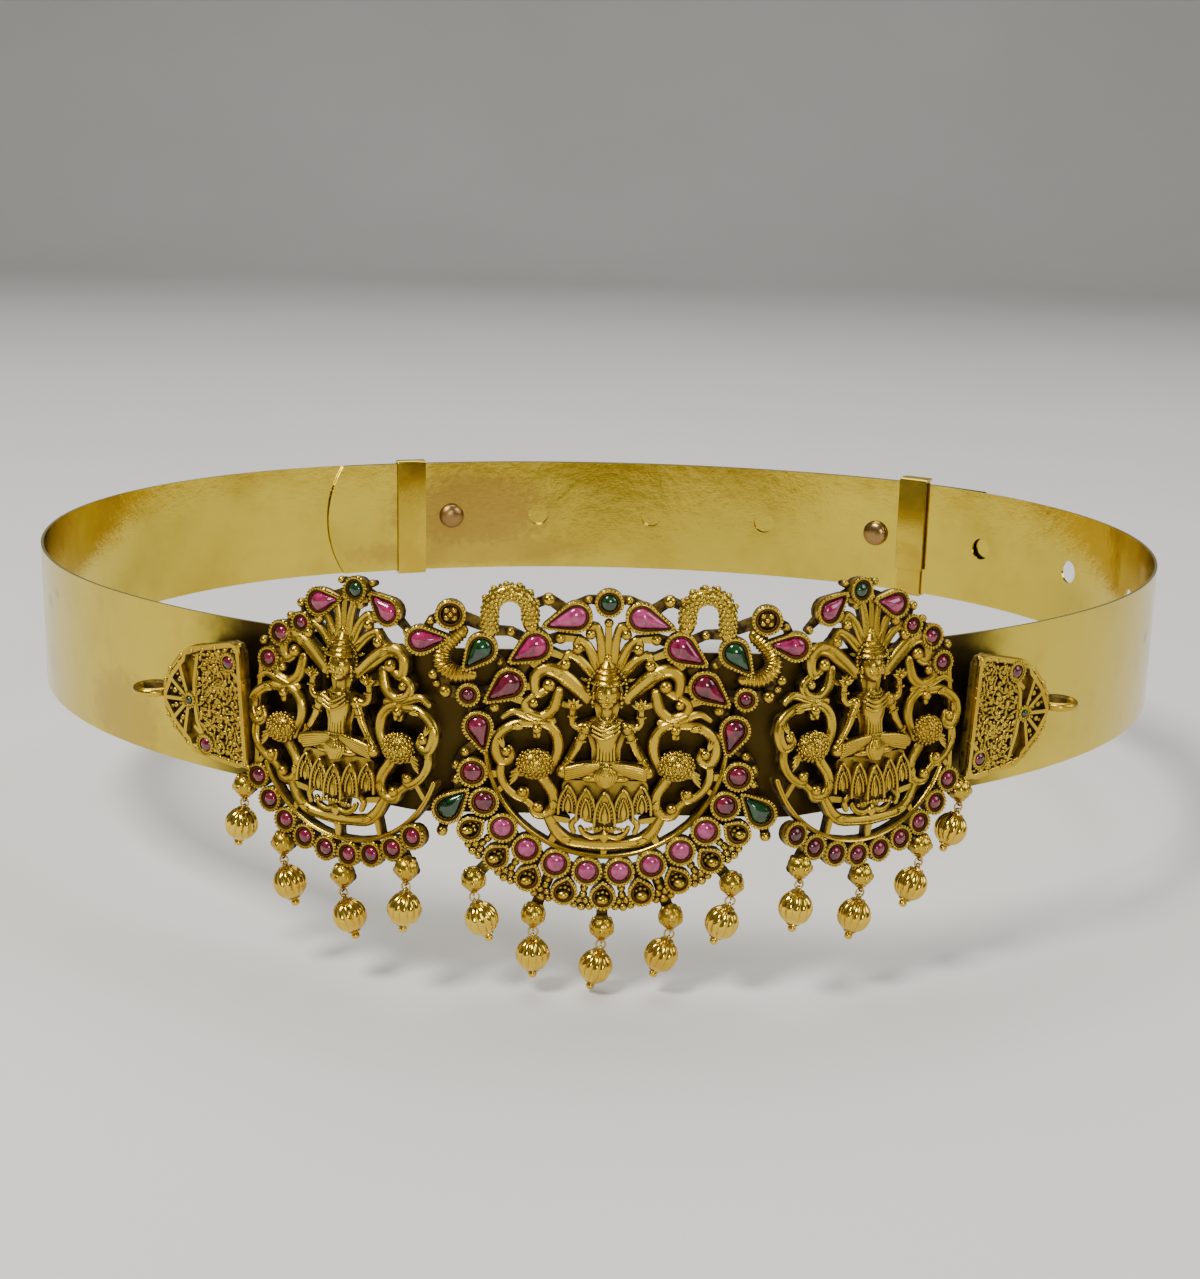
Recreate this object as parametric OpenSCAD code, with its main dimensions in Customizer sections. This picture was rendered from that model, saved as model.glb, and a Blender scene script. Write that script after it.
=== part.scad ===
// Oddiyanam waist belt: a brass strap that overlaps itself at the back, three cast temple
// panels with cabochons across the front, a tapering end piece on each side and hanging beads.
// Millimetres, +Z up. The origin is the middle of the hollow that the waist goes through,
// half way up the strap. The front, with the panels, faces -Y.

/* [Strap] */
// Inside width of the closed belt, on the middle of the strap
waist_w = 250; // [200:1:320]
// Distance from the middle of the hollow to the front of the strap
front_depth = 112; // [90:1:140]
// Distance from the middle of the hollow to the back of the strap
back_depth = 100; // [80:1:125]
// Radius of the front corners of the oval
front_side_r = 102; // [88:1:104]
// Radius of the back corners of the oval
back_side_r = 92; // [78:1:93]
// Height of the strap
strap_h = 30; // [28:0.5:36]
// Thickness of the strap
strap_t = 0.6; // [0.4:0.05:0.9]
// Space between the two strap ends where they lie over each other
lap_gap = 0.3; // [0.2:0.05:0.5]
// Angle between the middle panel's face and a side panel's face
facet_yaw = 27.5; // [22:0.5:30]
// Inside radius of the two bends in the front
bend_r = 12; // [8:0.5:16]

/* [Fastening at the back] */
// Radius of the adjusting holes
hole_r = 2.8; // [2:0.1:3.5]
// Distance between the adjusting holes
hole_pitch = 32.1; // [31.5:0.1:32.6]
// Place of the first adjusting hole, along the strap from the middle of the back
hole_start = -16.2; // [-20:0.2:-14]
// Number of adjusting holes
hole_count = 7; // [4:1:7]
// Which adjusting hole the right stud sits in, counted from the first one
stud_in_hole = 3; // [3:1:3]
// Place of the left stud along the strap, from the middle of the back
stud_left_at = -41.1; // [-44:0.2:-38]
// Radius of the domed head of a stud
stud_r = 3.4; // [3.2:0.1:4.5]
// Length of the strap end beyond the middle of the back, inside the left half
inner_end = 76.5; // [70:0.5:78]
// Length of the strap end beyond the right stud, outside
outer_tail = 34; // [33:0.5:38]
// Place of the left keeper along the strap
keeper_left_at = -52.6; // [-56:0.2:-51]
// Place of the right keeper along the strap
keeper_right_at = 90.8; // [89:0.2:93]
// Width of a keeper along the strap
keeper_w = 7.8; // [6:0.2:9]
// Metal thickness of a keeper
keeper_t = 0.6; // [0.4:0.05:1]

/* [Castings] */
// Thickness of the pierced back plate of a casting
plate_t = 1.0; // [0.8:0.1:1.4]
// Height of the stone settings above the back of a casting
bezel_h = 2.3; // [2:0.1:2.8]
// Height of the scrollwork above the back of a casting
scroll_h = 2.0; // [1.7:0.1:2.4]
// Height of the domed tops of the stones above the back of a casting
stone_h = 3.2; // [2.9:0.1:3.8]
// Space between a stone and its setting
stone_gap = 0.1; // [0.1:0.02:0.2]
// Wall of a stone setting
bezel_wall = 0.85; // [0.6:0.05:1]
// Space between the middle panel and the strap
centre_stand = 1.7; // [1:0.1:3]
// Space between a side panel and the strap, at half height
side_stand = 2; // [1.9:0.1:3]
// Backward lean of the side panels
side_lean = 5; // [0:0.5:6]
// Place of a side panel's middle, from the bend line of the strap
side_along = 15.3; // [15:0.1:16]
// Height of the left side panel against the middle of the strap
left_lift = -0.8; // [-2:0.1:1]
// Height of the right side panel against the middle of the strap
right_lift = 0.8; // [-1:0.1:2]

/* [End pieces] */
// Length of an end piece without its ring
wing_l = 19.6; // [18:0.1:19.8]
// Height of an end piece at its inner edge
wing_h = 23.6; // [22:0.2:26]
// Space between an end piece and the strap
wing_stand = 3.2; // [3:0.1:4.5]
// Place of the left end piece round the front of the oval
wing_turn_left = 32; // [31.9:0.1:33]
// Place of the right end piece round the front of the oval
wing_turn_right = 32.8; // [32.3:0.1:33.4]
// Hole radius of the tie ring
ring_hole_r = 2.3; // [1.8:0.1:2.6]
// Wire thickness of the tie ring
ring_wire = 1.6; // [1.2:0.1:1.8]

/* [Stones and beads] */
// Setting radius of the round stones under the middle panel
round_r = 2.65; // [2.3:0.05:2.8]
// Distance of those round stones from the middle of the rim arc
round_ring_r = 24; // [23.8:0.1:24.6]
// Setting radius of the round stones under a side panel
side_round_r = 2.3; // [2:0.05:2.35]
// Radius of the hanging beads
ball_r = 3.1; // [2.4:0.1:3.3]
// Radius of the flower caps above the beads
cap_r = 2.2; // [1.8:0.1:2.4]

/* [Hidden] */

gold = [0.78, 0.6, 0.28];
old_gold = [0.62, 0.46, 0.2];
dark_brass = [0.35, 0.26, 0.14];
ruby = [0.5, 0.06, 0.2];
emerald = [0.04, 0.22, 0.12];

half_w = waist_w / 2;
lap = strap_t + lap_gap;
step = 0.2;
peg_gap = 0.15;
peg_r = 1.0;
shoulder_r = 1.6;
peg_head_r = 1.8;
peg_head_t = 0.6;

// The oval is four big arcs and four corner arcs. For a half width a, a depth b and a corner
// radius r this is the radius of the big arc that runs smoothly into the corner arcs.
function big_r(a, b, r) = (pow(a - r, 2) + b * b - r * r) / (2 * (b - r));
function turn_at_corner(a, b, r) = atan2(a - r, big_r(a, b, r) - b);

front_r = big_r(half_w, front_depth, front_side_r);
front_c = front_r - front_depth;
front_turn = turn_at_corner(half_w, front_depth, front_side_r);
corner = front_r * tan(facet_yaw / 2);
bend_l = bend_r * tan(facet_yaw / 2);

// The back half is drawn from the middle of the back. The left half carries the outer lap and
// the right half the inner one, so the right half lies one lap further in at the middle.
function back_b(side) = side > 0 ? back_depth - lap : back_depth;
function back_r(side) = big_r(half_w, back_b(side), back_side_r);
function back_turn(side) = turn_at_corner(half_w, back_b(side), back_side_r);
function back_len(side) = back_r(side) * back_turn(side) * PI / 180;
// Heading of the strap, as an angle from the middle of the back, at a length s along it
function back_phi(side, s) = s <= back_len(side) ? s / back_r(side) * 180 / PI
  : back_turn(side) + (s - back_len(side)) / back_side_r * 180 / PI;
function back_x(side, phi, off) = phi <= back_turn(side) ? (back_r(side) + off) * sin(phi)
  : half_w - back_side_r + (back_side_r + off) * sin(phi);
function back_y(side, phi, off) = phi <= back_turn(side)
  ? back_b(side) - back_r(side) + (back_r(side) + off) * cos(phi)
  : (back_side_r + off) * cos(phi);

// Frame on the strap's back half: +Y points out of the belt, +X to the right seen from inside
module at_back(s, off = 0) {
  side = s > 0 ? 1 : -1;
  phi = back_phi(side, abs(s));
  translate([side * back_x(side, phi, off), back_y(side, phi, off), 0])
    rotate([0, 0, -side * phi]) children();
}

// Points [x, y, heading] on an arc about c, for headings clockwise from +Y
function arc(c, r, from, to) = let(n = max(1, ceil(abs(to - from) / 3)))
  [for (i = [1:n]) let(a = from + (to - from) * i / n) [c[0] + r * sin(a), c[1] + r * cos(a), a]];
// The back half on one side between two headings from the middle, moved outward by off
function back_arc(side, off, phi0, phi1) = let(t = back_turn(side),
  big = [[0, back_b(side) - back_r(side)], back_r(side) + off],
  small = [[side * (half_w - back_side_r), 0], back_side_r + off])
  phi0 < phi1 ? concat(phi0 < t ? arc(big[0], big[1], side * phi0, side * min(phi1, t)) : [],
    phi1 > t ? arc(small[0], small[1], side * max(phi0, t), side * phi1) : [])
  : concat(phi0 > t ? arc(small[0], small[1], side * phi0, side * max(phi1, t)) : [],
    phi1 < t ? arc(big[0], big[1], side * min(phi0, t), side * phi1) : []);
// The front on one side: corner arc, big arc up to the facet, then the bend. The straight
// facet that a side panel stands on lies between the last two.
function front_arc(side) = let(
  c1 = [side * (half_w - front_side_r), 0], c3 = [side * (corner - bend_l), bend_r - front_depth])
  side > 0 ? concat(arc(c1, front_side_r, 90, 180 - front_turn),
    arc([0, front_c], front_r, 180 - front_turn, 180 - facet_yaw),
    arc_start(c3, bend_r, 180 - facet_yaw), arc(c3, bend_r, 180 - facet_yaw, 180))
  : concat(arc_start(c3, bend_r, 180), arc(c3, bend_r, 180, 180 + facet_yaw),
    arc_start([0, front_c], front_r, 180 + facet_yaw),
    arc([0, front_c], front_r, 180 + facet_yaw, 180 + front_turn),
    arc(c1, front_side_r, 180 + front_turn, 270));
function arc_start(c, r, a) = [[c[0] + r * sin(a), c[1] + r * cos(a), a]];

// Frame on a facet of the front: origin on the bend line, +X along the strap, -Y outward
module on_facet(side, along, out) {
  translate([side * corner, -front_depth, 0]) rotate([0, 0, side * facet_yaw])
    translate([side * along, -out, 0]) children();
}

// Frame on the curve beyond the facets, where the end pieces stand
module on_curve(side, turn, out) {
  translate([0, front_c, 0]) rotate([0, 0, side * turn]) translate([0, -front_r - out, 0])
    children();
}

spring_l = 19;
spring_r = 200;
end_round = 27.5;
stud_right_at = hole_start + stud_in_hole * hole_pitch;
outer_end_at = stud_right_at + outer_tail;
spring_phi = back_phi(1, outer_end_at - spring_l);
inner_phi = back_phi(-1, inner_end);

// The outer end lies on the inner one, then springs off it a little
spring_c = [back_x(1, spring_phi, lap - spring_r), back_y(1, spring_phi, lap - spring_r)];
// Middle line of the whole strap, from its inner end round to its outer end
strap_path = concat(
  [[-back_x(-1, inner_phi, -lap), back_y(-1, inner_phi, -lap), -inner_phi]],
  back_arc(-1, -lap, inner_phi, 0), back_arc(1, 0, 0, 90), front_arc(1), front_arc(-1),
  back_arc(-1, 0, 90, 0), back_arc(1, lap, 0, spring_phi),
  arc(spring_c, spring_r, spring_phi, spring_phi + spring_l / spring_r * 180 / PI));
function beside(p, off) = [p[0] + off * sin(p[2]), p[1] + off * cos(p[2])];
last = len(strap_path) - 1;

module strap() translate([0, 0, -strap_h / 2]) linear_extrude(height = strap_h)
  polygon(concat([for (p = strap_path) beside(p, strap_t / 2)],
    [for (i = [0:last]) beside(strap_path[last - i], -strap_t / 2)]));

// What is cut off the two ends: the inner tip is round, the outer one has cut corners
module end_cuts() {
  at_back(-inner_end, -lap) difference() {
    translate([-1, -lap / 2, -strap_h]) cube([1 + 0.3 * end_round, lap, 2 * strap_h]);
    translate([end_round, 0, 0]) rotate([90, 0, 0])
      cylinder(r = end_round, h = 20, center = true, $fn = 96);
  }
  end = strap_path[last];
  for (v = [-1, 1]) translate([end[0], end[1], v * strap_h / 2]) rotate([0, 0, -end[2]])
    rotate([0, 45, 0]) translate([0, 0.5 * lap, 0]) cube([4, 2 * lap, 4], center = true);
}

module pin_hole(r) rotate([90, 0, 0]) cylinder(r = r, h = 8, center = true, $fn = 32);

wire_hole_r = 0.65;
wire_hole_x = corner - bend_l - 1.4;
wire_hole_z = 5.15;

module band() color(gold) difference() {
  strap();
  end_cuts();
  for (i = [0:hole_count - 1]) at_back(hole_start + i * hole_pitch,
    hole_start + i * hole_pitch > 0 ? 0 : -lap)
      translate([0, lap / 2 - strap_t / 2 - 0.1, 0]) rotate([90, 0, 0])
        cylinder(r = hole_r, h = lap + 0.1, center = true, $fn = 48);
  at_back(stud_left_at) pin_hole(stem_r + peg_gap);
  at_back(stud_right_at) pin_hole(stem_r + peg_gap);
  for (v = [-1, 1]) translate([wire_hole_x, -front_depth, v * wire_hole_z])
    pin_hole(wire_hole_r);
  for (p = centre_pegs) translate([p[0], -front_depth, p[1]]) pin_hole(peg_r + peg_gap);
  for (side = [-1, 1]) {
    for (p = side_pegs) at_side_peg(side, p) pin_hole(peg_r + peg_gap);
    for (p = wing_pegs) at_wing_peg(side, p) pin_hole(peg_r + peg_gap);
  }
}

keeper_gap = 0.3;
keeper_in = lap + strap_t + 2 * keeper_gap;
keeper_step = 8.5;

// A sleeve round both laps of the strap, centred on the middle of the two
module keeper_sleeve(w) difference() {
  cube([w, keeper_in + 2 * keeper_t, strap_h + 2 * (keeper_gap + keeper_t)], center = true);
  cube([w + 2, keeper_in, strap_h + 2 * keeper_gap], center = true);
}

module keeper_left() color(gold) at_back(keeper_left_at, -lap / 2) keeper_sleeve(keeper_w);

// The right keeper is a strip bent round the strap: its upper end lies over its lower end
module keeper_right() color(gold) at_back(keeper_right_at, lap / 2) {
  keeper_sleeve(keeper_w - 1);
  top = strap_h / 2 + keeper_gap + keeper_t;
  translate([-keeper_w / 2, -keeper_in / 2 - 1.8 * keeper_t, -keeper_step])
    cube([keeper_w, keeper_t, top + keeper_step]);
  translate([-keeper_w / 2, -keeper_in / 2 - 1.8 * keeper_t, top - keeper_t / 2])
    cube([keeper_w, keeper_in + 2.4 * keeper_t, keeper_t]);
}

stem_r = hole_r - 0.35;
dome_h = 2;
stud_seat = 0.2;
stud_cut = (stud_r * stud_r - dome_h * dome_h) / (2 * dome_h);

// A stud through both laps: a dome inside the belt, a flat head outside
module stud(s, off) color(dark_brass) at_back(s, off) rotate([90, 0, 0]) {
  reach = lap / 2 + strap_t / 2 + stud_seat;
  translate([0, 0, -reach - peg_head_t]) cylinder(r = stud_r, h = peg_head_t, $fn = 48);
  translate([0, 0, -reach - peg_head_t / 2])
    cylinder(r = stem_r, h = 2 * reach + peg_head_t, $fn = 48);
  intersection() {
    translate([-stud_r, -stud_r, reach]) cube([2 * stud_r, 2 * stud_r, 2 * dome_h]);
    translate([0, 0, reach - stud_cut]) sphere(r = stud_cut + dome_h, $fn = 48);
  }
}
module stud_left() stud(stud_left_at, -lap / 2);
module stud_right() stud(stud_right_at, lap / 2);

// Placing of the castings. In a casting's own frame X runs along it, Y is up and Z outward.
module at_centre() translate([0, -front_depth - strap_t / 2 - centre_stand, 0])
  rotate([90, 0, 0]) children();
module at_side(side) on_facet(side, side_along, strap_t / 2 + side_stand)
  translate([0, 0, side > 0 ? right_lift : left_lift]) rotate([90 - side_lean, 0, 0])
    children();
module at_wing(side) on_curve(side, side > 0 ? wing_turn_right : wing_turn_left,
  strap_t / 2 + wing_stand) rotate([90, 0, 0]) children();

// Where the rivets of a side panel and of an end piece go through the strap
module at_side_peg(s, p) on_facet(s, side_along + p[0], 0)
  translate([0, 0, p[1] + (s > 0 ? right_lift : left_lift)]) children();
module at_wing_peg(s, x) on_curve(s, (s > 0 ? wing_turn_right : wing_turn_left)
  + s * x / front_r * 180 / PI, 0) children();

// A rivet behind a casting: a shoulder up to the strap, a pin through it and a head inside
module peg(stand) rotate([90, 0, 0]) {
  translate([0, 0, strap_t / 2 + peg_gap]) cylinder(r = shoulder_r, h = stand, $fn = 32);
  translate([0, 0, -strap_t / 2 - 0.3]) cylinder(r = peg_r, h = stand + strap_t, $fn = 32);
  translate([0, 0, -strap_t / 2 - peg_gap - peg_head_t])
    cylinder(r = peg_head_r, h = peg_head_t, $fn = 32);
}

// Outline of a pear setting: round end at the middle, tip along +X
tip_r = 0.35;
module pear(w, l) {
  d = l - w / 2 - tip_r;
  a = acos((w / 2 - tip_r) / d);
  polygon(concat([for (i = [0:10]) w / 2 * heading(a + (360 - 2 * a) * i / 10)],
    [for (i = [0:2]) [d, 0] + tip_r * heading(-a + a * i)]));
}
function heading(a) = [cos(a), sin(a)];
// A pear from a table row: [x, y, heading of the tip, width, length], on the side s
module pear_at(p, s, shrink) translate([s * p[0], p[1]]) rotate(s > 0 ? p[2] : 180 - p[2])
  pear(p[3] - 2 * shrink, p[4] - 2.2 * shrink);

// Radius of the sphere that domes a stone of half width r by rise
function dome(r, rise) = (r * r + rise * rise) / (2 * rise);

// Domed stones that stand on the plate of a casting inside their settings
module round_stone(p, base, wall) translate([p[0], p[1], 0]) intersection() {
  r = p[2] - wall - stone_gap;
  ball = dome(r, 0.4 * r);
  translate([0, 0, base + stone_gap]) cylinder(r = r, h = stone_h, $fn = 48);
  translate([0, 0, stone_h - 0.3 - ball]) sphere(r = ball, $fn = 64);
}
module pear_stone(p, s) translate([s * p[0], p[1], 0])
  rotate([0, 0, s > 0 ? p[2] : 180 - p[2]]) intersection() {
    ball = dome(p[4] / 2, 1.1);
    in = bezel_wall + stone_gap;
    translate([0, 0, plate_t + stone_gap]) linear_extrude(height = stone_h)
      pear(p[3] - 2 * in, p[4] - 2.2 * in);
    translate([(p[4] - p[3]) / 2 - 0.3, 0, stone_h - ball]) sphere(r = ball, $fn = 64);
  }

// A scroll: a ribbon through points [x, y, half width], round at its ends
module ribbon(pts, s, grow) {
  n = len(pts) - 1;
  edge = [for (i = [0:n]) let(p = pts[max(i - 1, 0)], q = pts[min(i + 1, n)],
    u = [s * (q[0] - p[0]), q[1] - p[1]]) (pts[i][2] + grow) * [-u[1], u[0]] / norm(u)];
  for (i = [0, n]) translate([s * pts[i][0], pts[i][1]]) circle(r = pts[i][2] + grow, $fn = 8);
  for (i = [1:n]) {
    a = [s * pts[i - 1][0], pts[i - 1][1]];
    b = [s * pts[i][0], pts[i][1]];
    polygon([a + edge[i - 1], a - edge[i - 1], b - edge[i], b + edge[i]]);
  }
}

// Middle panel: settings [x, y, tip heading, width, length], chosen on the right half
rim_y = -0.5;
rim_r = round_ring_r - round_r - 0.25;
rim_w = 0.9;
round_pitch = 13.85;
blank_ring_r = round_ring_r + 4.7;
cap_ring_r = blank_ring_r + 5.9;
p_top = [5.6, 22.0, -18, 5.5, 8.9];
p_upper = [12.5, 16.7, -32, 5.8, 8.5];
p_shoulder = [16.9, 9.9, -37, 5.8, 8.5];
p_feather = [21.8, 16.1, -51, 5.5, 7.9];
p_outer = [32.4, 17.4, 175, 5.2, 7.9];
p_waist = [22.4, 2.2, -105, 5.4, 7.8];
p_low = [27.6, -13.0, 135, 5.6, 8.0];
top_round = [0, 24.5, 2.45];
small_round = [24.1, 7.8, 2.05];
clover = [27.2, 22.0, 2.6];
neck = [17.0, 22.5, 3.5, 1.25];
centre_pegs = [[16.9, 9.9], [-16.9, 9.9], [20.6, -11.5], [-20.6, -11.5]];
feather = [[25.2, 19.0, 0.9], [28.2, 16.0, 1.2], [28.6, 13.2, 1.2], [26.6, 11.4, 1.2],
  [23.6, 11.2, 0.9]];
// Loose-looking grains soldered in the gaps: [x, y, radius]
grains = [[3.5, 24.8, 0.75], [10.4, 24.8, 1.15], [8.3, 18.1, 1.1], [19.6, 5.5, 1.05],
  [18.6, 13.5, 0.6], [24.6, -2.8, 0.9], [26.2, -5.2, 0.85], [26.1, -7.8, 0.95],
  [28.1, 8.1, 1.2], [30.2, 11.1, 0.9], [29.6, 9.5, 0.7], [16.8, 18.9, 0.8],
  [30.6, 20.6, 0.7], [28.6, -17.4, 1.0]];
// Strips of the plate that carry what stands apart: [x, y, half width]
ties = [[[24.1, 7.8, 1.2], [28.1, 8.1, 1.1], [30.2, 11.1, 0.8]],
  [[28.6, 13.2, 0.8], [28.1, 8.1, 0.8]], [[22.4, 2.2, 1], [24.1, 7.8, 1]],
  [[22.0, -1.0, 0.9], [24.6, -2.8, 0.8], [26.2, -5.2, 0.8], [26.1, -7.8, 0.8]],
  [[26.1, -7.8, 0.7], [25.5, -10.8, 0.7]], [[24.2, -4.6, 0.6], [26.2, -5.2, 0.6]],
  [[18.8, 8.2, 1.2], [19.6, 5.5, 0.8], [21.6, 3.4, 0.9]], [[12.5, 16.7, 0.9], [8.3, 18.1, 0.9],
  [6.5, 20.5, 0.8]], [[12.5, 16.7, 1.2], [16.9, 9.9, 1.2]], [[16.9, 9.9, 0.9],
  [18.6, 13.5, 0.7], [21.8, 16.1, 0.9]], [[12.5, 16.7, 0.9], [16.8, 18.9, 0.8],
  [20.0, 19.0, 0.9]], [[3.5, 24.8, 0.7], [6.0, 23.5, 0.9]], [[0, 24.5, 1], [3.5, 24.8, 0.7]],
  [[24.1, 7.8, 1], [20.5, 8.0, 0.9]], [[22.0, 20.0, 1], [27.2, 22.0, 1.2],
  [30.6, 20.6, 0.8], [31.5, 18.5, 1]], [[10.4, 24.8, 0.9], [7.6, 22.9, 1]],
  [[10.4, 24.8, 0.8], [13.5, 23.5, 0.8]], [[28.6, -17.4, 0.8], [27.8, -14.0, 1]]];

// The raised design, right half: [x, y, half width] along each scroll
scrolls = [
  [[3.6, 7.6, 1.1], [6.2, 10.1, 1.2], [8.7, 12.0, 1.2], [10.9, 12.5, 1.1], [12.4, 11.3, 0.95],
    [12.6, 9.4, 0.75], [12.0, 8.0, 0.7], [10.8, 8.6, 0.6]],
  [[8.4, 8.6, 0.7], [8.7, 6.9, 0.9], [9.5, 5.1, 0.85], [11.4, 3.9, 0.8], [13.6, 4.7, 0.75],
    [14.2, 6.5, 0.6], [12.8, 7.7, 0.5]],
  [[18.0, 3.8, 0.3], [16.2, 4.8, 0.5], [13.9, 4.1, 0.7], [11.5, 3.3, 0.7], [9.4, 3.2, 0.5]],
  [[9.8, -5.6, 0.7], [8.4, -2.4, 0.8], [8.6, 0.5, 0.85], [10.2, 2.4, 0.8], [12.1, 2.5, 0.7],
    [12.3, 0.6, 0.4]],
  [[12.1, 2.6, 0.6], [15.6, 2.5, 0.75], [18.5, 0.7, 0.8], [19.3, -1.8, 0.85],
    [18.2, -4.3, 0.8], [16.5, -3.6, 0.6], [16.9, -2.0, 0.5]],
  [[18.2, -4.4, 0.55], [18.4, -6.6, 0.6], [17.6, -8.7, 0.6], [16.1, -10.3, 0.6],
    [14.4, -11.1, 0.6], [13.9, -9.7, 0.5]],
  [[10.8, -7.4, 0.9], [9.2, -9.9, 0.85], [8.9, -12.2, 0.8], [10.2, -13.9, 0.7],
    [12.1, -13.9, 0.6], [12.9, -12.4, 0.5], [14.4, -11.1, 0.5]],
  [[10.2, -13.9, 0.6], [9.4, -15.4, 0.8], [8.3, -17.2, 0.9], [6.4, -18.7, 0.9],
    [3.4, -19.3, 0.8], [0, -19.5, 0.9]],
  [[6.6, -15.0, 0.6], [8.8, -14.6, 0.6]],
  [[1.0, 14.0, 0.7], [1.3, 17.6, 0.6], [2.1, 20.2, 0.6], [3.1, 19.6, 0.6]],
  [[1.8, 13.0, 0.8], [3.4, 16.5, 0.65], [5.0, 18.0, 0.6], [5.4, 17.0, 0.6]],
  [[2.4, 11.6, 0.8], [4.8, 14.2, 0.65], [6.8, 15.2, 0.6], [7.4, 14.2, 0.6]],
  [[7.4, 14.2, 0.5], [9.2, 12.4, 0.7]], [[2.1, 20.2, 0.5], [4.4, 20.6, 0.6]]];
// Short ties from the design to the stones round it, on the middle panel and on a side panel
centre_ties = [[[18.5, 0.7, 0.7], [20.6, 0.6, 0.8]], [[18.4, -6.6, 0.6], [20.6, -6.6, 0.8]],
  [[14.2, 6.5, 0.6], [16.6, 7.6, 0.9]], [[5.0, 18.0, 0.5], [8.3, 18.1, 0.8]],
  [[7.2, 14.6, 0.5], [10.6, 15.9, 0.8]], [[10.9, 12.5, 0.8], [12.8, 13.6, 0.8]],
  [[12.6, 9.4, 0.6], [15.2, 9.4, 0.8]], [[17.6, -8.7, 0.5], [19.2, -9.9, 0.6]],
  [[8.3, -17.2, 0.7], [9.6, -19.3, 0.6]], [[0, -19.4, 0.8], [0, -21.4, 0.5]]];
side_ties = [[[4.0, 20.8, 0.6], [5.2, 21.2, 0.8]], [[6.1, 17.4, 0.5], [7.6, 17.6, 0.8]],
  [[9.8, 15.3, 0.8], [11.4, 15.6, 0.8]], [[11.5, 12.2, 0.6], [13.8, 11.4, 0.9]],
  [[-6.4, 20.6, 0.5], [-9.2, 20.6, 0.8]], [[-9.2, -14.4, 0.6], [-10.4, -18.2, 0.5]],
  [[-1.1, -16.6, 0.8], [-1.8, -20.2, 0.5]], [[7.2, -14.4, 0.6], [8.0, -16.8, 0.5]],
  [[-17.2, -7.6, 0.5], [-19.4, -10.4, 0.5]], [[14.9, -7.4, 0.5], [16.6, -9.6, 0.6]]];
side_axis = [-1.1, 2.8];
// On a side panel the top pears take the place of the curls above this height
side_curl_top = 18;
scroll_balls = [[10.1, 9.7, 1.15], [12.7, 6.4, 0.8], [3.1, 18.9, 0.9], [5.2, 16.3, 0.95],
  [7.3, 13.4, 0.95], [17.4, -2.4, 0.9], [14.5, -9.8, 0.9], [11.8, -12.6, 0.95]];

// Seated figure, halo of curls, lotus seat and its foot, drawn as ribbons too
figure = [[[1.8, 2.2, 1.9], [1.0, -1.5, 1.6], [1.0, -4.6, 1.6]], [[0, 3, 1.5], [0, 8.6, 2.9]],
  [[0, 8.6, 2.9], [0, 14.2, 1.2]], [[0, 14, 0.6], [0, 20.6, 0.6]], [[0, -5.8, 1.6], [7, -5.8, 1.4]],
  [[6.9, -8.9, 0.8], [5.6, -11.4, 1.9], [2.6, -12.8, 2.6], [0, -13, 3]], [[6.6, -8.4, 1],
  [0, -9.4, 2]], [[0, -15, 2.2], [0, -19, 1.6]], [[3.4, 2.4, 1], [4.9, -1.0, 0.75],
  [6.9, -4.6, 0.8]], [[3.4, 2.6, 0.9], [5.8, 2.6, 0.65], [5.9, 5.9, 0.8], [8.4, 6.6, 0.5]],
  [[11.6, -4.4, 2.3], [13.0, -5.4, 1.8], [16.0, -6.4, 0.6]]];
module relief_2d(grow) for (s = [-1, 1], q = concat(scrolls, figure)) ribbon(q, s, grow);

// Balls and rods of the raised design. On the middle panel, which stands square, they are
// turned a little, so that no pole or seam lies in a wall; $twist says so.
module ball(r, n = 24) rotate($twist * [19, 31, 0]) sphere(r = r, $fn = n);
module rod(r1, r2, h) rotate($twist * [0, 0, 23]) cylinder(r1 = r1, r2 = r2, h = h, $fn = 32);

// The raised forms that stand on the silhouette
module relief_3d(top) {
  for (s = [-1, 1]) {
    for (b = scroll_balls) if (b[1] < top) translate([s * b[0], b[1], scroll_h - 0.2]) ball(b[2]);
    translate([s * 11.9, -4.6, scroll_h - 0.6]) ball(2.3, 32);
    translate([s * 12.1, 1.9, scroll_h - 0.1]) ball(0.9);
    translate([s * 5.9, 5.9, scroll_h]) ball(0.9);
    translate([s * 6.9, -4.7, scroll_h]) ball(0.9);
    translate([s * 3.5, 2.3, scroll_h - 0.2]) ball(1.1);
    translate([s * 7.0, -5.9, scroll_h - 0.3]) rotate([0, s * -90, 0]) rod(1.0, 1.6, 6.6);
    translate([s * 7.2, -5.9, scroll_h - 0.3]) ball(1.25);
  }
  translate([0, 8.5, scroll_h]) ball(2.2, 40);
  translate([0, 10.2, scroll_h - 0.4]) rotate([-90, 0, 0]) rod(2.3, 0.7, 4);
  translate([0, 20.9, scroll_h - 0.6]) ball(0.75);
  translate([0, -4.2, scroll_h - 0.5]) rotate([-90, 0, 0]) rod(1.5, 2.4, 7);
  translate([0, 3.2, scroll_h - 0.3]) rotate([-90, 0, 0]) rod(1.1, 1.1, 4);
  translate([0, -6.3, scroll_h + 0.2]) ball(2.0, 40);
  for (x = [-1, 1]) {
    petal(x * 6.1, -10.7, 1.4, 1.9, scroll_h + 0.5);
    petal(x * 3.2, -11.6, 1.4, 2.3, scroll_h + 0.9);
  }
  petal(0, -12.3, 1.5, 2.4, scroll_h + 1.3);
}
module petal(x, y, w, l, h) translate([x, y - l / 2, plate_t]) rotate([0, 0, 90])
  linear_extrude(height = h - plate_t) pear(2 * w, 1.5 * l + w + tip_r);

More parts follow.
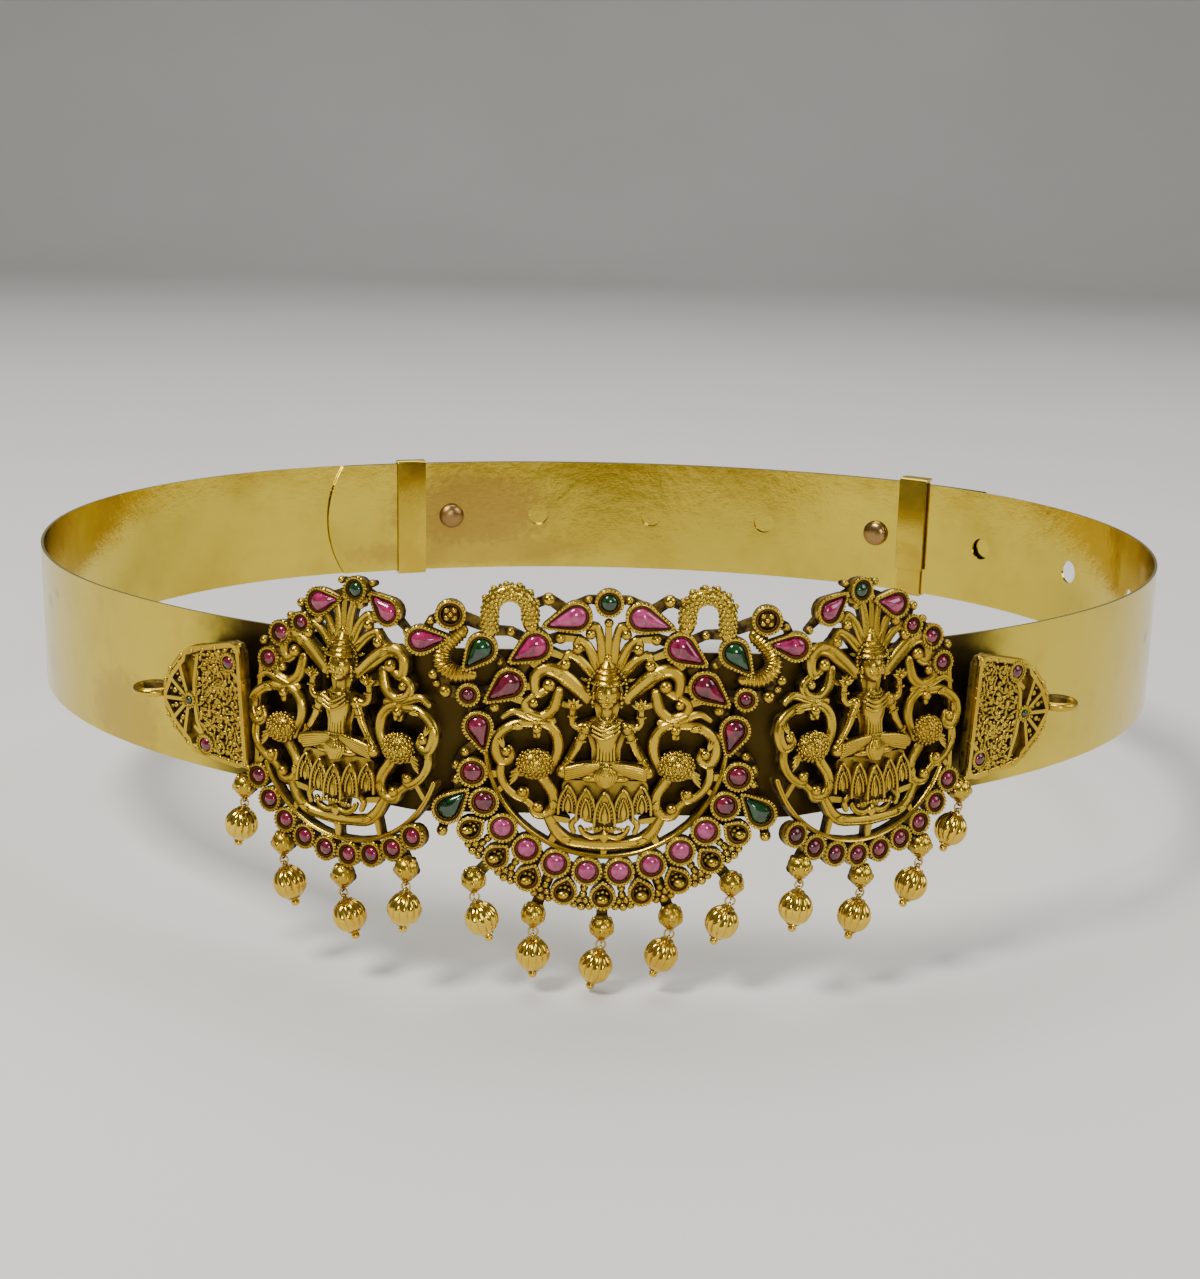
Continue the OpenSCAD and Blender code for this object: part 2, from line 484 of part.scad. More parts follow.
// Arc that closes the lower half of a panel's design, with headings from straight down
module rim_2d(c, r, from, to, grow) ribbon([for (a = [from:8:to]) concat(on_ring(c, r, a),
  rim_w / 2)], 1, grow);

module pears(rows, shrink) for (s = [-1, 1], p = rows) pear_at(p, s, shrink);
module disc(p, shrink) translate([p[0], p[1]]) circle(r = p[2] - shrink, $fn = 16);
function on_ring(c, r, a) = [c[0] + r * sin(a), c[1] - r * cos(a)];

// Middle panel
centre_rows = [p_top, p_upper, p_shoulder, p_feather, p_outer, p_waist, p_low];
centre_c = [0, rim_y];
function centre_round(s, i) = concat(on_ring(centre_c, round_ring_r, s * (i + 0.5) * round_pitch),
  round_r);
function blank_pear(i) = concat(on_ring(centre_c, blank_ring_r, i * round_pitch),
  [90 + i * round_pitch, 4.7, 5.4]);
function centre_cap(k) = on_ring(centre_c, cap_ring_r, k * 1.5 * round_pitch);

module centre_settings(shrink) {
  pears(centre_rows, shrink);
  disc(top_round, shrink);
  for (s = [-1, 1]) {
    disc(flip(s, small_round), shrink);
    disc(flip(s, clover), shrink);
    for (i = [0:5]) disc(centre_round(s, i), shrink);
  }
  for (i = [-4:4]) pear_at(blank_pear(i), 1, shrink);
}
module centre_design(grow) {
  relief_2d(grow);
  rim_2d(centre_c, rim_r, -84, 84, grow);
  for (s = [-1, 1], q = centre_ties) ribbon(q, s, grow);
}
module centre_border() {
  for (s = [-1, 1], q = ties) ribbon(q, s, 0);
  for (s = [-1, 1]) ribbon(feather, s, 0);
  for (k = [-2:2]) ribbon([concat(on_ring(centre_c, round_ring_r, k * 1.5 * round_pitch), 1),
    concat(centre_cap(k), 1)], 1, 0);
  for (i = [-4:4]) ribbon([concat(on_ring(centre_c, blank_ring_r, i * round_pitch), 0.8),
    concat(on_ring(centre_c, round_ring_r, i * round_pitch), 0.6)], 1, 0);
  for (p = centre_pegs) translate(p) circle(r = shoulder_r + 0.3, $fn = 12);
}

module centre_panel() color(old_gold) {
  at_centre() {
    linear_extrude(height = plate_t) offset(delta = 0.01) {
      centre_settings(0.15);
      centre_design(0);
      centre_border();
    }
    setting_walls() { centre_settings(0); centre_settings(bezel_wall); }
    scroll_walls() { centre_design(-0.1); centre_settings(bezel_wall - 0.1); }
    relief_3d(top_round[1], $twist = 1);
    for (s = [-1, 1]) {
      for (g = grains) grain(s * g[0], g[1], g[2]);
      peacock_neck(s);
    }
    for (k = [-2:2]) drop_cap(centre_cap(k), 0);
  }
  for (p = centre_pegs) translate([p[0], -front_depth, p[1]]) peg(centre_stand);
}

module setting_walls() translate([0, 0, plate_t - step])
  linear_extrude(height = bezel_h - plate_t + step) offset(delta = 0.01) difference() {
    children(0);
    children(1);
  }
module scroll_walls() translate([0, 0, plate_t - step])
  linear_extrude(height = scroll_h - plate_t + step) offset(delta = 0.01) difference() {
    children(0);
    children(1);
  }
module grain(x, y, r) translate([x, y, plate_t + 0.3]) sphere(r = r, $fn = 20);

// The neck of a top peacock: an inverted U that stands clear of the plate
module peacock_neck(s) translate([s * neck[0], neck[1], neck[3] + 0.15]) {
  rotate_extrude(angle = 180, $fn = 48) translate([neck[2], 0]) circle(r = neck[3], $fn = 24);
  for (v = [[neck[2], 3.6], [-neck[2], 2.2]]) translate([s * v[0], 0.2, 0]) rotate([90, 0, 0])
    cylinder(r = neck[3] - 0.05, h = v[1], $fn = 24);
}

// Hanging beads: a flower cap soldered to the casting, an eye under it, a link and a bead
wire_r = 0.18;
eye_r = 0.55;
eye_drop = 0.35;
link_r = 0.85;
hang_h = 1.6;

module torus(r, w) rotate_extrude($fn = 48) translate([r, 0]) circle(r = w, $fn = 16);
module eye() rotate([0, 90, 0]) torus(eye_r, wire_r);
module drop_cap(p, lean) translate([p[0], p[1], hang_h]) {
  sphere(r = cap_r, $fn = 32);
  translate([0, -cap_r - eye_drop, 0]) rotate([lean, 0, 0]) eye();
}
module at_eye(p, lean) translate([p[0], p[1] - cap_r - eye_drop, hang_h])
  rotate([lean, 0, 0]) children();
module link(p, lean, tilt) at_eye(p, lean) rotate([0, 0, tilt / 2])
  translate([0, -link_r, 0]) torus(link_r, wire_r);
module bead(p, lean, tilt) color(gold) at_eye(p, lean) rotate([0, 0, tilt / 2])
  translate([0, -2 * link_r, 0]) rotate([0, 0, tilt / 2]) {
    eye();
    translate([0, -eye_drop - ball_r, 0]) {
      sphere(r = ball_r, $fn = 48);
      rotate([90, 0, 0]) translate([0, 0, ball_r - 0.4]) cylinder(r = 1.1, h = 0.8, $fn = 24);
      translate([0, -ball_r - 0.7, 0]) sphere(r = 0.75, $fn = 24);
    }
  }

centre_tilts = [20, 0, -13, -20, -20];
left_tilts = [-12, 18, 19, -5];
right_tilts = [-22, -23, -15, -8];
module centre_bead(k) at_centre() bead(centre_cap(k), 0, centre_tilts[k + 2]);
module links_centre() color(gold) at_centre() for (k = [-2:2])
  link(centre_cap(k), 0, centre_tilts[k + 2]);

// Side panels, drawn for the right one; s = -1 mirrors them
side_ring_r = 21.5;
side_pitch = 12.94;
side_c = [-2.9, -1.2];
side_first = 61.3;
side_rim_r = side_ring_r - side_round_r - 0.25;
side_cap_r = side_ring_r + side_round_r + cap_r - 0.35;
side_caps = [60, 31, 0, -31];
side_top = [-3.4, 25.1, 2.3];
side_inner = [-10.2, 21.9, 38, 5.2, 7.4];
side_outer = [4.2, 22.0, 168, 5.2, 7.6];
side_upper = [[7.7, 17.8, 2.0], [12.1, 15.4, 2.3], [14.5, 10.4, 2.15]];
side_pegs = [[14.4, 10.4], [14.4, -11.0], [-11.2, 12.2], [-10.4, -10.6]];
side_bar = [[16.3, 9.4, 0.5], [16.8, 0, 0.55], [16.6, -9.6, 0.5]];
side_border = [[[-10.2, 21.9, 1.2], [-3.4, 25.1, 1.1], [4.2, 22.0, 1.2], [7.7, 17.8, 1],
  [12.1, 15.4, 1], [14.5, 10.4, 1], [16.4, 8.4, 0.6]]];
side_grains = [[-6.4, 26.4, 0.7], [0.1, 26.3, 0.7], [8.4, 21.2, 0.9], [10.6, 18.6, 0.8],
  [16.2, 13.4, 0.9], [-13.9, 18.8, 0.8]];
side_grain_ties = [[[-6.4, 26.4, 0.5], [-4.6, 25.6, 0.6]], [[0.1, 26.3, 0.5], [-2, 25.8, 0.6]],
  [[8.4, 21.2, 0.6], [7.7, 18.8, 0.8]], [[10.6, 18.6, 0.5], [11.4, 16.8, 0.8]],
  [[16.2, 13.4, 0.6], [14.8, 11.4, 0.8]], [[-13.9, 18.8, 0.5], [-11.6, 20.6, 0.8]]];

function side_round(i) = concat(on_ring(side_c, side_ring_r, side_first - i * side_pitch),
  side_round_r);
function side_cap(i) = on_ring(side_c, side_cap_r, side_caps[i]);
function flip(s, p) = [s * p[0], p[1], p[2]];

module side_settings(s, shrink) {
  for (p = [side_inner, side_outer]) pear_at(p, s, shrink);
  disc(flip(s, side_top), shrink);
  for (p = side_upper) disc(flip(s, p), shrink);
  for (i = [0:8]) disc(flip(s, side_round(i)), shrink);
}
module side_design(s, grow) {
  difference() {
    translate([s * side_axis[0], side_axis[1]]) relief_2d(grow);
    translate([s > 0 ? 17 : -27, -20]) square([10, 40]);
  }
  mirror([s > 0 ? 0 : 1, 0]) rim_2d(side_c, side_rim_r, -72, 66, grow);
  for (q = side_ties) ribbon(q, s, grow);
  ribbon(side_bar, s, grow);
}
module side_plate(s) {
  for (q = concat(side_border, side_grain_ties)) ribbon(q, s, 0);
  for (p = side_pegs) translate([s * p[0], p[1]]) circle(r = shoulder_r + 0.3, $fn = 12);
  for (a = side_caps) ribbon([concat(on_ring(side_c, side_ring_r, a), 1),
    concat(on_ring(side_c, side_cap_r, a), 1)], s, 0);
}
module side_panel(s) color(old_gold) {
  at_side(s) {
    linear_extrude(height = plate_t) offset(delta = 0.01) {
      side_settings(s, 0.15);
      side_design(s, 0);
      side_plate(s);
    }
    setting_walls() { side_settings(s, 0); side_settings(s, bezel_wall); }
    scroll_walls() { side_design(s, -0.1); side_settings(s, bezel_wall - 0.1); }
    translate([s * side_axis[0], side_axis[1], 0]) relief_3d(side_curl_top, $twist = 0);
    for (g = side_grains) grain(s * g[0], g[1], g[2]);
    for (i = [0:3]) drop_cap([s * side_cap(i)[0], side_cap(i)[1]], side_lean);
  }
  for (p = side_pegs) at_side_peg(s, p) peg(side_stand + 0.4 - sin(side_lean) * p[1]);
}
module left_panel() side_panel(-1);
module right_panel() side_panel(1);
module side_bead(s, i) at_side(s) bead([s * side_cap(i)[0], side_cap(i)[1]], side_lean,
  s > 0 ? right_tilts[i] : left_tilts[i]);
module side_links(s) color(gold) at_side(s) for (i = [0:3])
  link([s * side_cap(i)[0], side_cap(i)[1]], side_lean, s > 0 ? right_tilts[i] : left_tilts[i]);

// End pieces, drawn for the right one; the left one is the same casting turned half round
wing_droop = 3.5;
wing_tip = wing_l / 2;
wing_eye = [wing_tip - 6.5, 0, 1.5];
wing_low = [2.9 - wing_tip, -7.9, 1.95];
wing_high = [0.1, 8.2, 2.0];
wing_pegs = [-6, 6];
wing_plate_t = 1.2;
wing_wall = 0.6;
ring_x = wing_tip + ring_hole_r + ring_wire - 0.1;

wing_corner = 2;
module wing_outline(shrink) offset(r = wing_corner - shrink) polygon([for (p = [
  [-wing_tip, wing_h / 2], [0.1, 10.2], [4.6, 8.8], [wing_tip - 2, 5.6], [wing_tip, 2.0],
  [wing_tip, -2.0], [wing_tip - 2, -5.6], [4.6, -8.8], [0.1, -10.2], [-wing_tip, -wing_h / 2]])
    p - wing_corner * [sign(p[0] - 0.5), sign(p[1])]]);
module wing_settings(shrink) for (p = [wing_eye, wing_low, wing_high]) disc(p, shrink);
module wing_ribs() {
  difference() {
    wing_outline(0.05);
    wing_outline(0.85);
  }
  for (a = [-72, -36, 0, 36, 72]) ribbon([[wing_eye[0], 0, 0.3],
    [wing_eye[0] + 6 * cos(a), 7.4 * sin(a), 0.35]], 1, 0);
  ribbon([[0.4, -8.6, 0.35], [1.6, -4, 0.35], [2.0, 0, 0.35], [1.6, 4, 0.35], [0.4, 6.4, 0.35]],
    1, 0);
  ribbon([[-9.6, -4.6, 0.35], [-4.4, -9.4, 0.35]], 1, 0);
  ribbon([[-2.2, 9.0, 0.35], [2.2, 5.0, 0.35]], 1, 0);
}
wing_grain_r = 0.85;
function clear_of(g, rows) = min([for (p = rows) norm([g[0] - p[0], g[1] - p[1]]) - p[2]]);
wing_grains = [for (i = [0:3], j = [-3:3]) let(g = [1.7 - wing_tip + i * 2.4 +
  (j % 2 == 0 ? 0 : 0.6), j * 2.5 + (i % 2 == 0 ? 0.8 : 0), wing_grain_r])
    if (clear_of(g, [wing_low, wing_high, wing_eye]) > 0.2) g];
module wing_body(s) {
  mirror_y = s < 0 ? 180 : 0;
  rotate([0, 0, -s * wing_droop]) rotate([0, 0, mirror_y]) {
    linear_extrude(height = wing_plate_t) wing_outline(0);
    translate([0, 0, wing_plate_t - step]) linear_extrude(height = bezel_h - plate_t + step)
      offset(delta = 0.01) difference() {
        union() {
          wing_ribs();
          wing_settings(0);
        }
        wing_settings(wing_wall);
      }
    for (g = wing_grains) translate([g[0], g[1], wing_plate_t]) sphere(r = g[2], $fn = 20);
  }
}
module tie_ring(s) translate([s * ring_x, 0, ring_wire / 2 + 0.1]) rotate([90, 0, 0]) {
  rotate_extrude($fn = 64) {
    translate([ring_hole_r + ring_wire / 2, 0]) circle(r = ring_wire / 2 - 0.05, $fn = 24);
    translate([ring_hole_r, -ring_wire / 4]) square([ring_wire / 2, ring_wire / 2]);
  }
}
module wing(s) color(old_gold) {
  at_wing(s) {
    wing_body(s);
    tie_ring(s);
    translate([s > 0 ? wing_tip - 1.6 : 0.5 - ring_x + ring_hole_r, -ring_wire / 2,
      ring_wire / 2 + 0.1 - 0.6])
      cube([ring_x - ring_hole_r - 0.5 - wing_tip + 1.6, ring_wire, 1.2]);
  }
  for (p = wing_pegs) at_wing_peg(s, p) peg(wing_stand + 0.5);
}
module left_wing() wing(-1);
module right_wing() wing(1);

// Stones
module centre_pear(p, s, c) color(c) at_centre() pear_stone(p, s);
module centre_emerald() color(emerald) at_centre() round_stone(top_round, plate_t, bezel_wall);
module centre_rubies() color(ruby) at_centre() for (s = [-1, 1]) {
  round_stone(flip(s, small_round), plate_t, bezel_wall);
  for (i = [0:5]) round_stone(centre_round(s, i), plate_t, bezel_wall);
}
module side_emerald(s) color(emerald) at_side(s) round_stone(flip(s, side_top), plate_t, bezel_wall);
module side_pear(p, s) color(ruby) at_side(s) pear_stone(p, s);
module side_rubies(s) color(ruby) at_side(s) {
  for (p = side_upper) round_stone(flip(s, p), plate_t, bezel_wall);
  for (i = [0:8]) round_stone(flip(s, side_round(i)), plate_t, bezel_wall);
}
module wing_stones(s) at_wing(s) rotate([0, 0, -s * wing_droop + (s < 0 ? 180 : 0)]) {
  color(emerald) round_stone(wing_eye, wing_plate_t, wing_wall);
  color(ruby) for (p = [wing_low, wing_high]) round_stone(p, wing_plate_t, wing_wall);
}
module ruby_top_left() centre_pear(p_top, -1, ruby);
module ruby_top_right() centre_pear(p_top, 1, ruby);
module ruby_upper_left() centre_pear(p_upper, -1, ruby);
module ruby_upper_right() centre_pear(p_upper, 1, ruby);
module ruby_shoulder_left() centre_pear(p_shoulder, -1, ruby);
module ruby_shoulder_right() centre_pear(p_shoulder, 1, ruby);
module ruby_outer_left() centre_pear(p_outer, -1, ruby);
module ruby_outer_right() centre_pear(p_outer, 1, ruby);
module ruby_waist_left() centre_pear(p_waist, -1, ruby);
module ruby_waist_right() centre_pear(p_waist, 1, ruby);
module emerald_feather_left() centre_pear(p_feather, -1, emerald);
module emerald_feather_right() centre_pear(p_feather, 1, emerald);
module emerald_low_left() centre_pear(p_low, -1, emerald);
module emerald_low_right() centre_pear(p_low, 1, emerald);
module left_panel_emerald() side_emerald(-1);
module left_panel_ruby_inner() side_pear(side_inner, -1);
module left_panel_ruby_outer() side_pear(side_outer, -1);
module left_panel_rubies() side_rubies(-1);
module left_wing_stones() wing_stones(-1);
module right_panel_emerald() side_emerald(1);
module right_panel_ruby_inner() side_pear(side_inner, 1);
module right_panel_ruby_outer() side_pear(side_outer, 1);
module right_panel_rubies() side_rubies(1);
module right_wing_stones() wing_stones(1);
module bead_left_1() side_bead(-1, 0);
module bead_left_2() side_bead(-1, 1);
module bead_left_3() side_bead(-1, 2);
module bead_left_4() side_bead(-1, 3);
module bead_centre_1() centre_bead(-2);
module bead_centre_2() centre_bead(-1);
module bead_centre_3() centre_bead(0);
module bead_centre_4() centre_bead(1);
module bead_centre_5() centre_bead(2);
module bead_right_1() side_bead(1, 3);
module bead_right_2() side_bead(1, 2);
module bead_right_3() side_bead(1, 1);
module bead_right_4() side_bead(1, 0);
module links_left() side_links(-1);
module links_right() side_links(1);

band();
keeper_left();
keeper_right();
stud_left();
stud_right();
centre_panel();
left_panel();
right_panel();
left_wing();
right_wing();
centre_emerald();
ruby_top_left();
ruby_top_right();
ruby_upper_left();
ruby_upper_right();
ruby_shoulder_left();
ruby_shoulder_right();
emerald_feather_left();
emerald_feather_right();
ruby_outer_left();
ruby_outer_right();
ruby_waist_left();
ruby_waist_right();
emerald_low_left();
emerald_low_right();
centre_rubies();
left_panel_emerald();
left_panel_ruby_inner();
left_panel_ruby_outer();
left_panel_rubies();
right_panel_emerald();
right_panel_ruby_inner();
right_panel_ruby_outer();
right_panel_rubies();
left_wing_stones();
right_wing_stones();
bead_left_1();
bead_left_2();
bead_left_3();
bead_left_4();
bead_centre_1();
bead_centre_2();
bead_centre_3();
bead_centre_4();
bead_centre_5();
bead_right_1();
bead_right_2();
bead_right_3();
bead_right_4();
links_left();
links_centre();
links_right();
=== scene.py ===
"""Looks of the oddiyanam waist belt: the strap, cast panels, stones and hanging beads."""
import logging
import math
from collections.abc import Iterator
from contextlib import contextmanager
from dataclasses import dataclass
from enum import Enum
from pathlib import Path as File

import bmesh
import bpy
import numpy as np
from mathutils import Matrix, Vector
from mathutils.geometry import delaunay_2d_cdt


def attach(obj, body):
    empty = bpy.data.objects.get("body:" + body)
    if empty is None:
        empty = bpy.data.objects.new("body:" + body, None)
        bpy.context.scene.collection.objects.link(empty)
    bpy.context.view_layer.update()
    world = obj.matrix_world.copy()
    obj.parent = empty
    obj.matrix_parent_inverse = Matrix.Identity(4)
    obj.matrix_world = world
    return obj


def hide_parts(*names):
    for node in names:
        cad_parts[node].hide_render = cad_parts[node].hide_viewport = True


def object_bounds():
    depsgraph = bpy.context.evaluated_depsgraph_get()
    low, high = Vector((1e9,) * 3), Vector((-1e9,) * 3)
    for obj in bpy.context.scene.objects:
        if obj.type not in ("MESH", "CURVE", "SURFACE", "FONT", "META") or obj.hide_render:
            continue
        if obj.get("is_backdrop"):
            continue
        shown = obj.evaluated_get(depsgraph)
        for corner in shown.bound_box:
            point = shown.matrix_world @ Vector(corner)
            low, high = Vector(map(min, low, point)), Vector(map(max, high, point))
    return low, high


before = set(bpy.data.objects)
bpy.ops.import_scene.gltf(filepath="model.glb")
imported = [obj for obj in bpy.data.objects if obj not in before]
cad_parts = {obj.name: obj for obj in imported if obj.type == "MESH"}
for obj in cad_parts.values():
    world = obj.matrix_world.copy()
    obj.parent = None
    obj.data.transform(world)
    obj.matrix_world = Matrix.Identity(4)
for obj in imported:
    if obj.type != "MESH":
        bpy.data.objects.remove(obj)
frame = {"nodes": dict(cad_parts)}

log = logging.getLogger("belt")
MM = 0.001
Array = np.ndarray
Colour = tuple[float, float, float]
Point = tuple[float, float]
Triple = tuple[float, float, float]
Socket = bpy.types.NodeSocket
Value = Socket | float | tuple
FLOAT, VECTOR, COLOR = "NodeSocketFloat", "NodeSocketVector", "NodeSocketColor"


class Slot(Enum):
    """Material slots."""

    STRAP = "strap_brass"
    STUD = "stud_brass"
    CASTING = "antique_gold"
    BEAD = "bead_gold"
    WIRE = "link_wire"
    RED = "red_stone"
    GREEN = "green_stone"
    WING = "wing_stone"


@dataclass(frozen=True)
class MetalFinish:
    """Colours and polish of a metal, in linear colour; grain is the cast grain in millimetres."""

    bright: Colour = (0.61, 0.42, 0.045)
    dark: Colour = (0.022, 0.009, 0.002)
    polish: float = 0.14
    dull: float = 0.55
    grain: float = 0.35
    relief: float = 0.2
    worn: float = 0.16


@dataclass(frozen=True)
class GemFinish:
    """Colours of a cabochon: deep at the girdle, glow where light gathers, in linear colour."""

    deep: Colour
    glow: Colour
    polish: float = 0.08


@dataclass(frozen=True)
class StrapFinish:
    """Colours of the rolled brass: clean, tarnished, stained, and a dark brown painted shade on the
    outer face behind the castings.
    """

    clean: Colour = (0.68, 0.52, 0.06)
    tarnish: Colour = (0.45, 0.32, 0.035)
    stain: Colour = (0.33, 0.16, 0.055)
    # Painted shade: the dark brown of the outer face where it lies behind the castings.
    painted_shade: Colour = (0.035, 0.017, 0.006)
    polish: float = 0.11


@dataclass(frozen=True)
class Strap:
    """Sizes of the strap in millimetres, as in the solid model."""

    waist_w: float = 250.0
    front_depth: float = 112.0
    back_depth: float = 100.0
    front_side_r: float = 102.0
    back_side_r: float = 92.0
    height: float = 30.0
    thick: float = 0.6
    lap_gap: float = 0.3
    facet_yaw: float = 27.5
    bend_r: float = 12.0
    hole_r: float = 2.8
    hole_pitch: float = 32.1
    hole_start: float = -16.2
    hole_count: int = 7
    stud_in_hole: int = 3
    stud_left_at: float = -41.1
    inner_end: float = 76.5
    outer_tail: float = 34.0
    spring_l: float = 19.0
    spring_r: float = 200.0
    tip_r: float = 27.5
    end_cut: float = 2.8
    keeper_left_at: float = -52.6
    keeper_right_at: float = 90.8
    keeper_w: float = 7.8
    keeper_t: float = 0.6
    keeper_gap: float = 0.3
    stud_r: float = 3.4

    @property
    def lap(self) -> float:
        """Distance between the middles of the two laps."""
        return self.thick + self.lap_gap

    @property
    def front_r(self) -> float:
        """Radius of the big front arc."""
        return big_radius(self.waist_w / 2, self.front_depth, self.front_side_r)

    @property
    def front_c(self) -> float:
        """Y of the middle of the big front arc."""
        return self.front_r - self.front_depth

    @property
    def corner(self) -> float:
        """X of the bend between the middle flat and a side flat."""
        return self.front_r * math.tan(math.radians(self.facet_yaw / 2))

    @property
    def stud_right_at(self) -> float:
        """Place of the right stud along the strap."""
        return self.hole_start + self.stud_in_hole * self.hole_pitch


@dataclass(frozen=True)
class Casting:
    """Sizes shared by the castings, stones and beads, in millimetres."""

    plate: float = 1.0
    bezel: float = 2.3
    scroll: float = 2.0
    stone: float = 3.2
    wall: float = 0.85
    gap: float = 0.1
    centre_stand: float = 1.7
    side_stand: float = 2.0
    side_lean: float = 5.0
    side_along: float = 15.3
    left_lift: float = -0.8
    right_lift: float = 0.8
    wing_tip: float = 9.8
    wing_stand: float = 3.2
    wing_turn_left: float = 32.0
    wing_turn_right: float = 32.8
    wing_droop: float = 3.5
    wing_plate: float = 1.2
    wing_wall: float = 0.6
    ring_hole_r: float = 2.3
    ring_wire: float = 1.6
    round_r: float = 2.65
    ring_r: float = 24.0
    pitch: float = 13.85
    side_round_r: float = 2.3
    side_ring_r: float = 21.5
    side_pitch: float = 12.94
    ball_r: float = 3.1
    cap_r: float = 2.2
    hang: float = 1.6
    eye_r: float = 0.55
    eye_drop: float = 0.35
    link_r: float = 0.85
    wire_r: float = 0.18


def big_radius(a: float, b: float, r: float) -> float:
    """Radius of an arc b deep that runs smoothly into corner arcs of radius r, a from the axis."""
    return ((a - r) ** 2 + b * b - r * r) / (2 * (b - r))


def moved(x: float, y: float, z: float) -> Array:
    """Matrix that moves by x, y and z.

    Args:
        x, y, z: the move in millimetres.

    Returns:
        A 4 by 4 matrix.
    """
    m = np.eye(4)
    m[:3, 3] = x, y, z
    return m


def turned(axis: str, degrees: float) -> Array:
    """Matrix that turns about the axis "X", "Y" or "Z"."""
    return np.array(Matrix.Rotation(math.radians(degrees), 4, axis))


def placed(m: Array, points: Array) -> Array:
    """Points, in the last three columns, taken through a 4 by 4 matrix."""
    return points @ m[:3, :3].T + m[:3, 3]


def lengths(points: Array) -> Array:
    """Length along a row of points up to each of them: the running sum of their distances."""
    return np.concatenate([[0], np.cumsum(np.linalg.norm(np.diff(points, axis=0), axis=1))])


def columns(*parts: Array | float) -> Array:
    """Columns side by side; a single number fills its whole column."""
    return np.stack(np.broadcast_arrays(*parts), axis=-1)


def circle(n: int) -> Array:
    """Angles of n points round a circle, in radians."""
    return np.arange(n) * 2 * np.pi / n


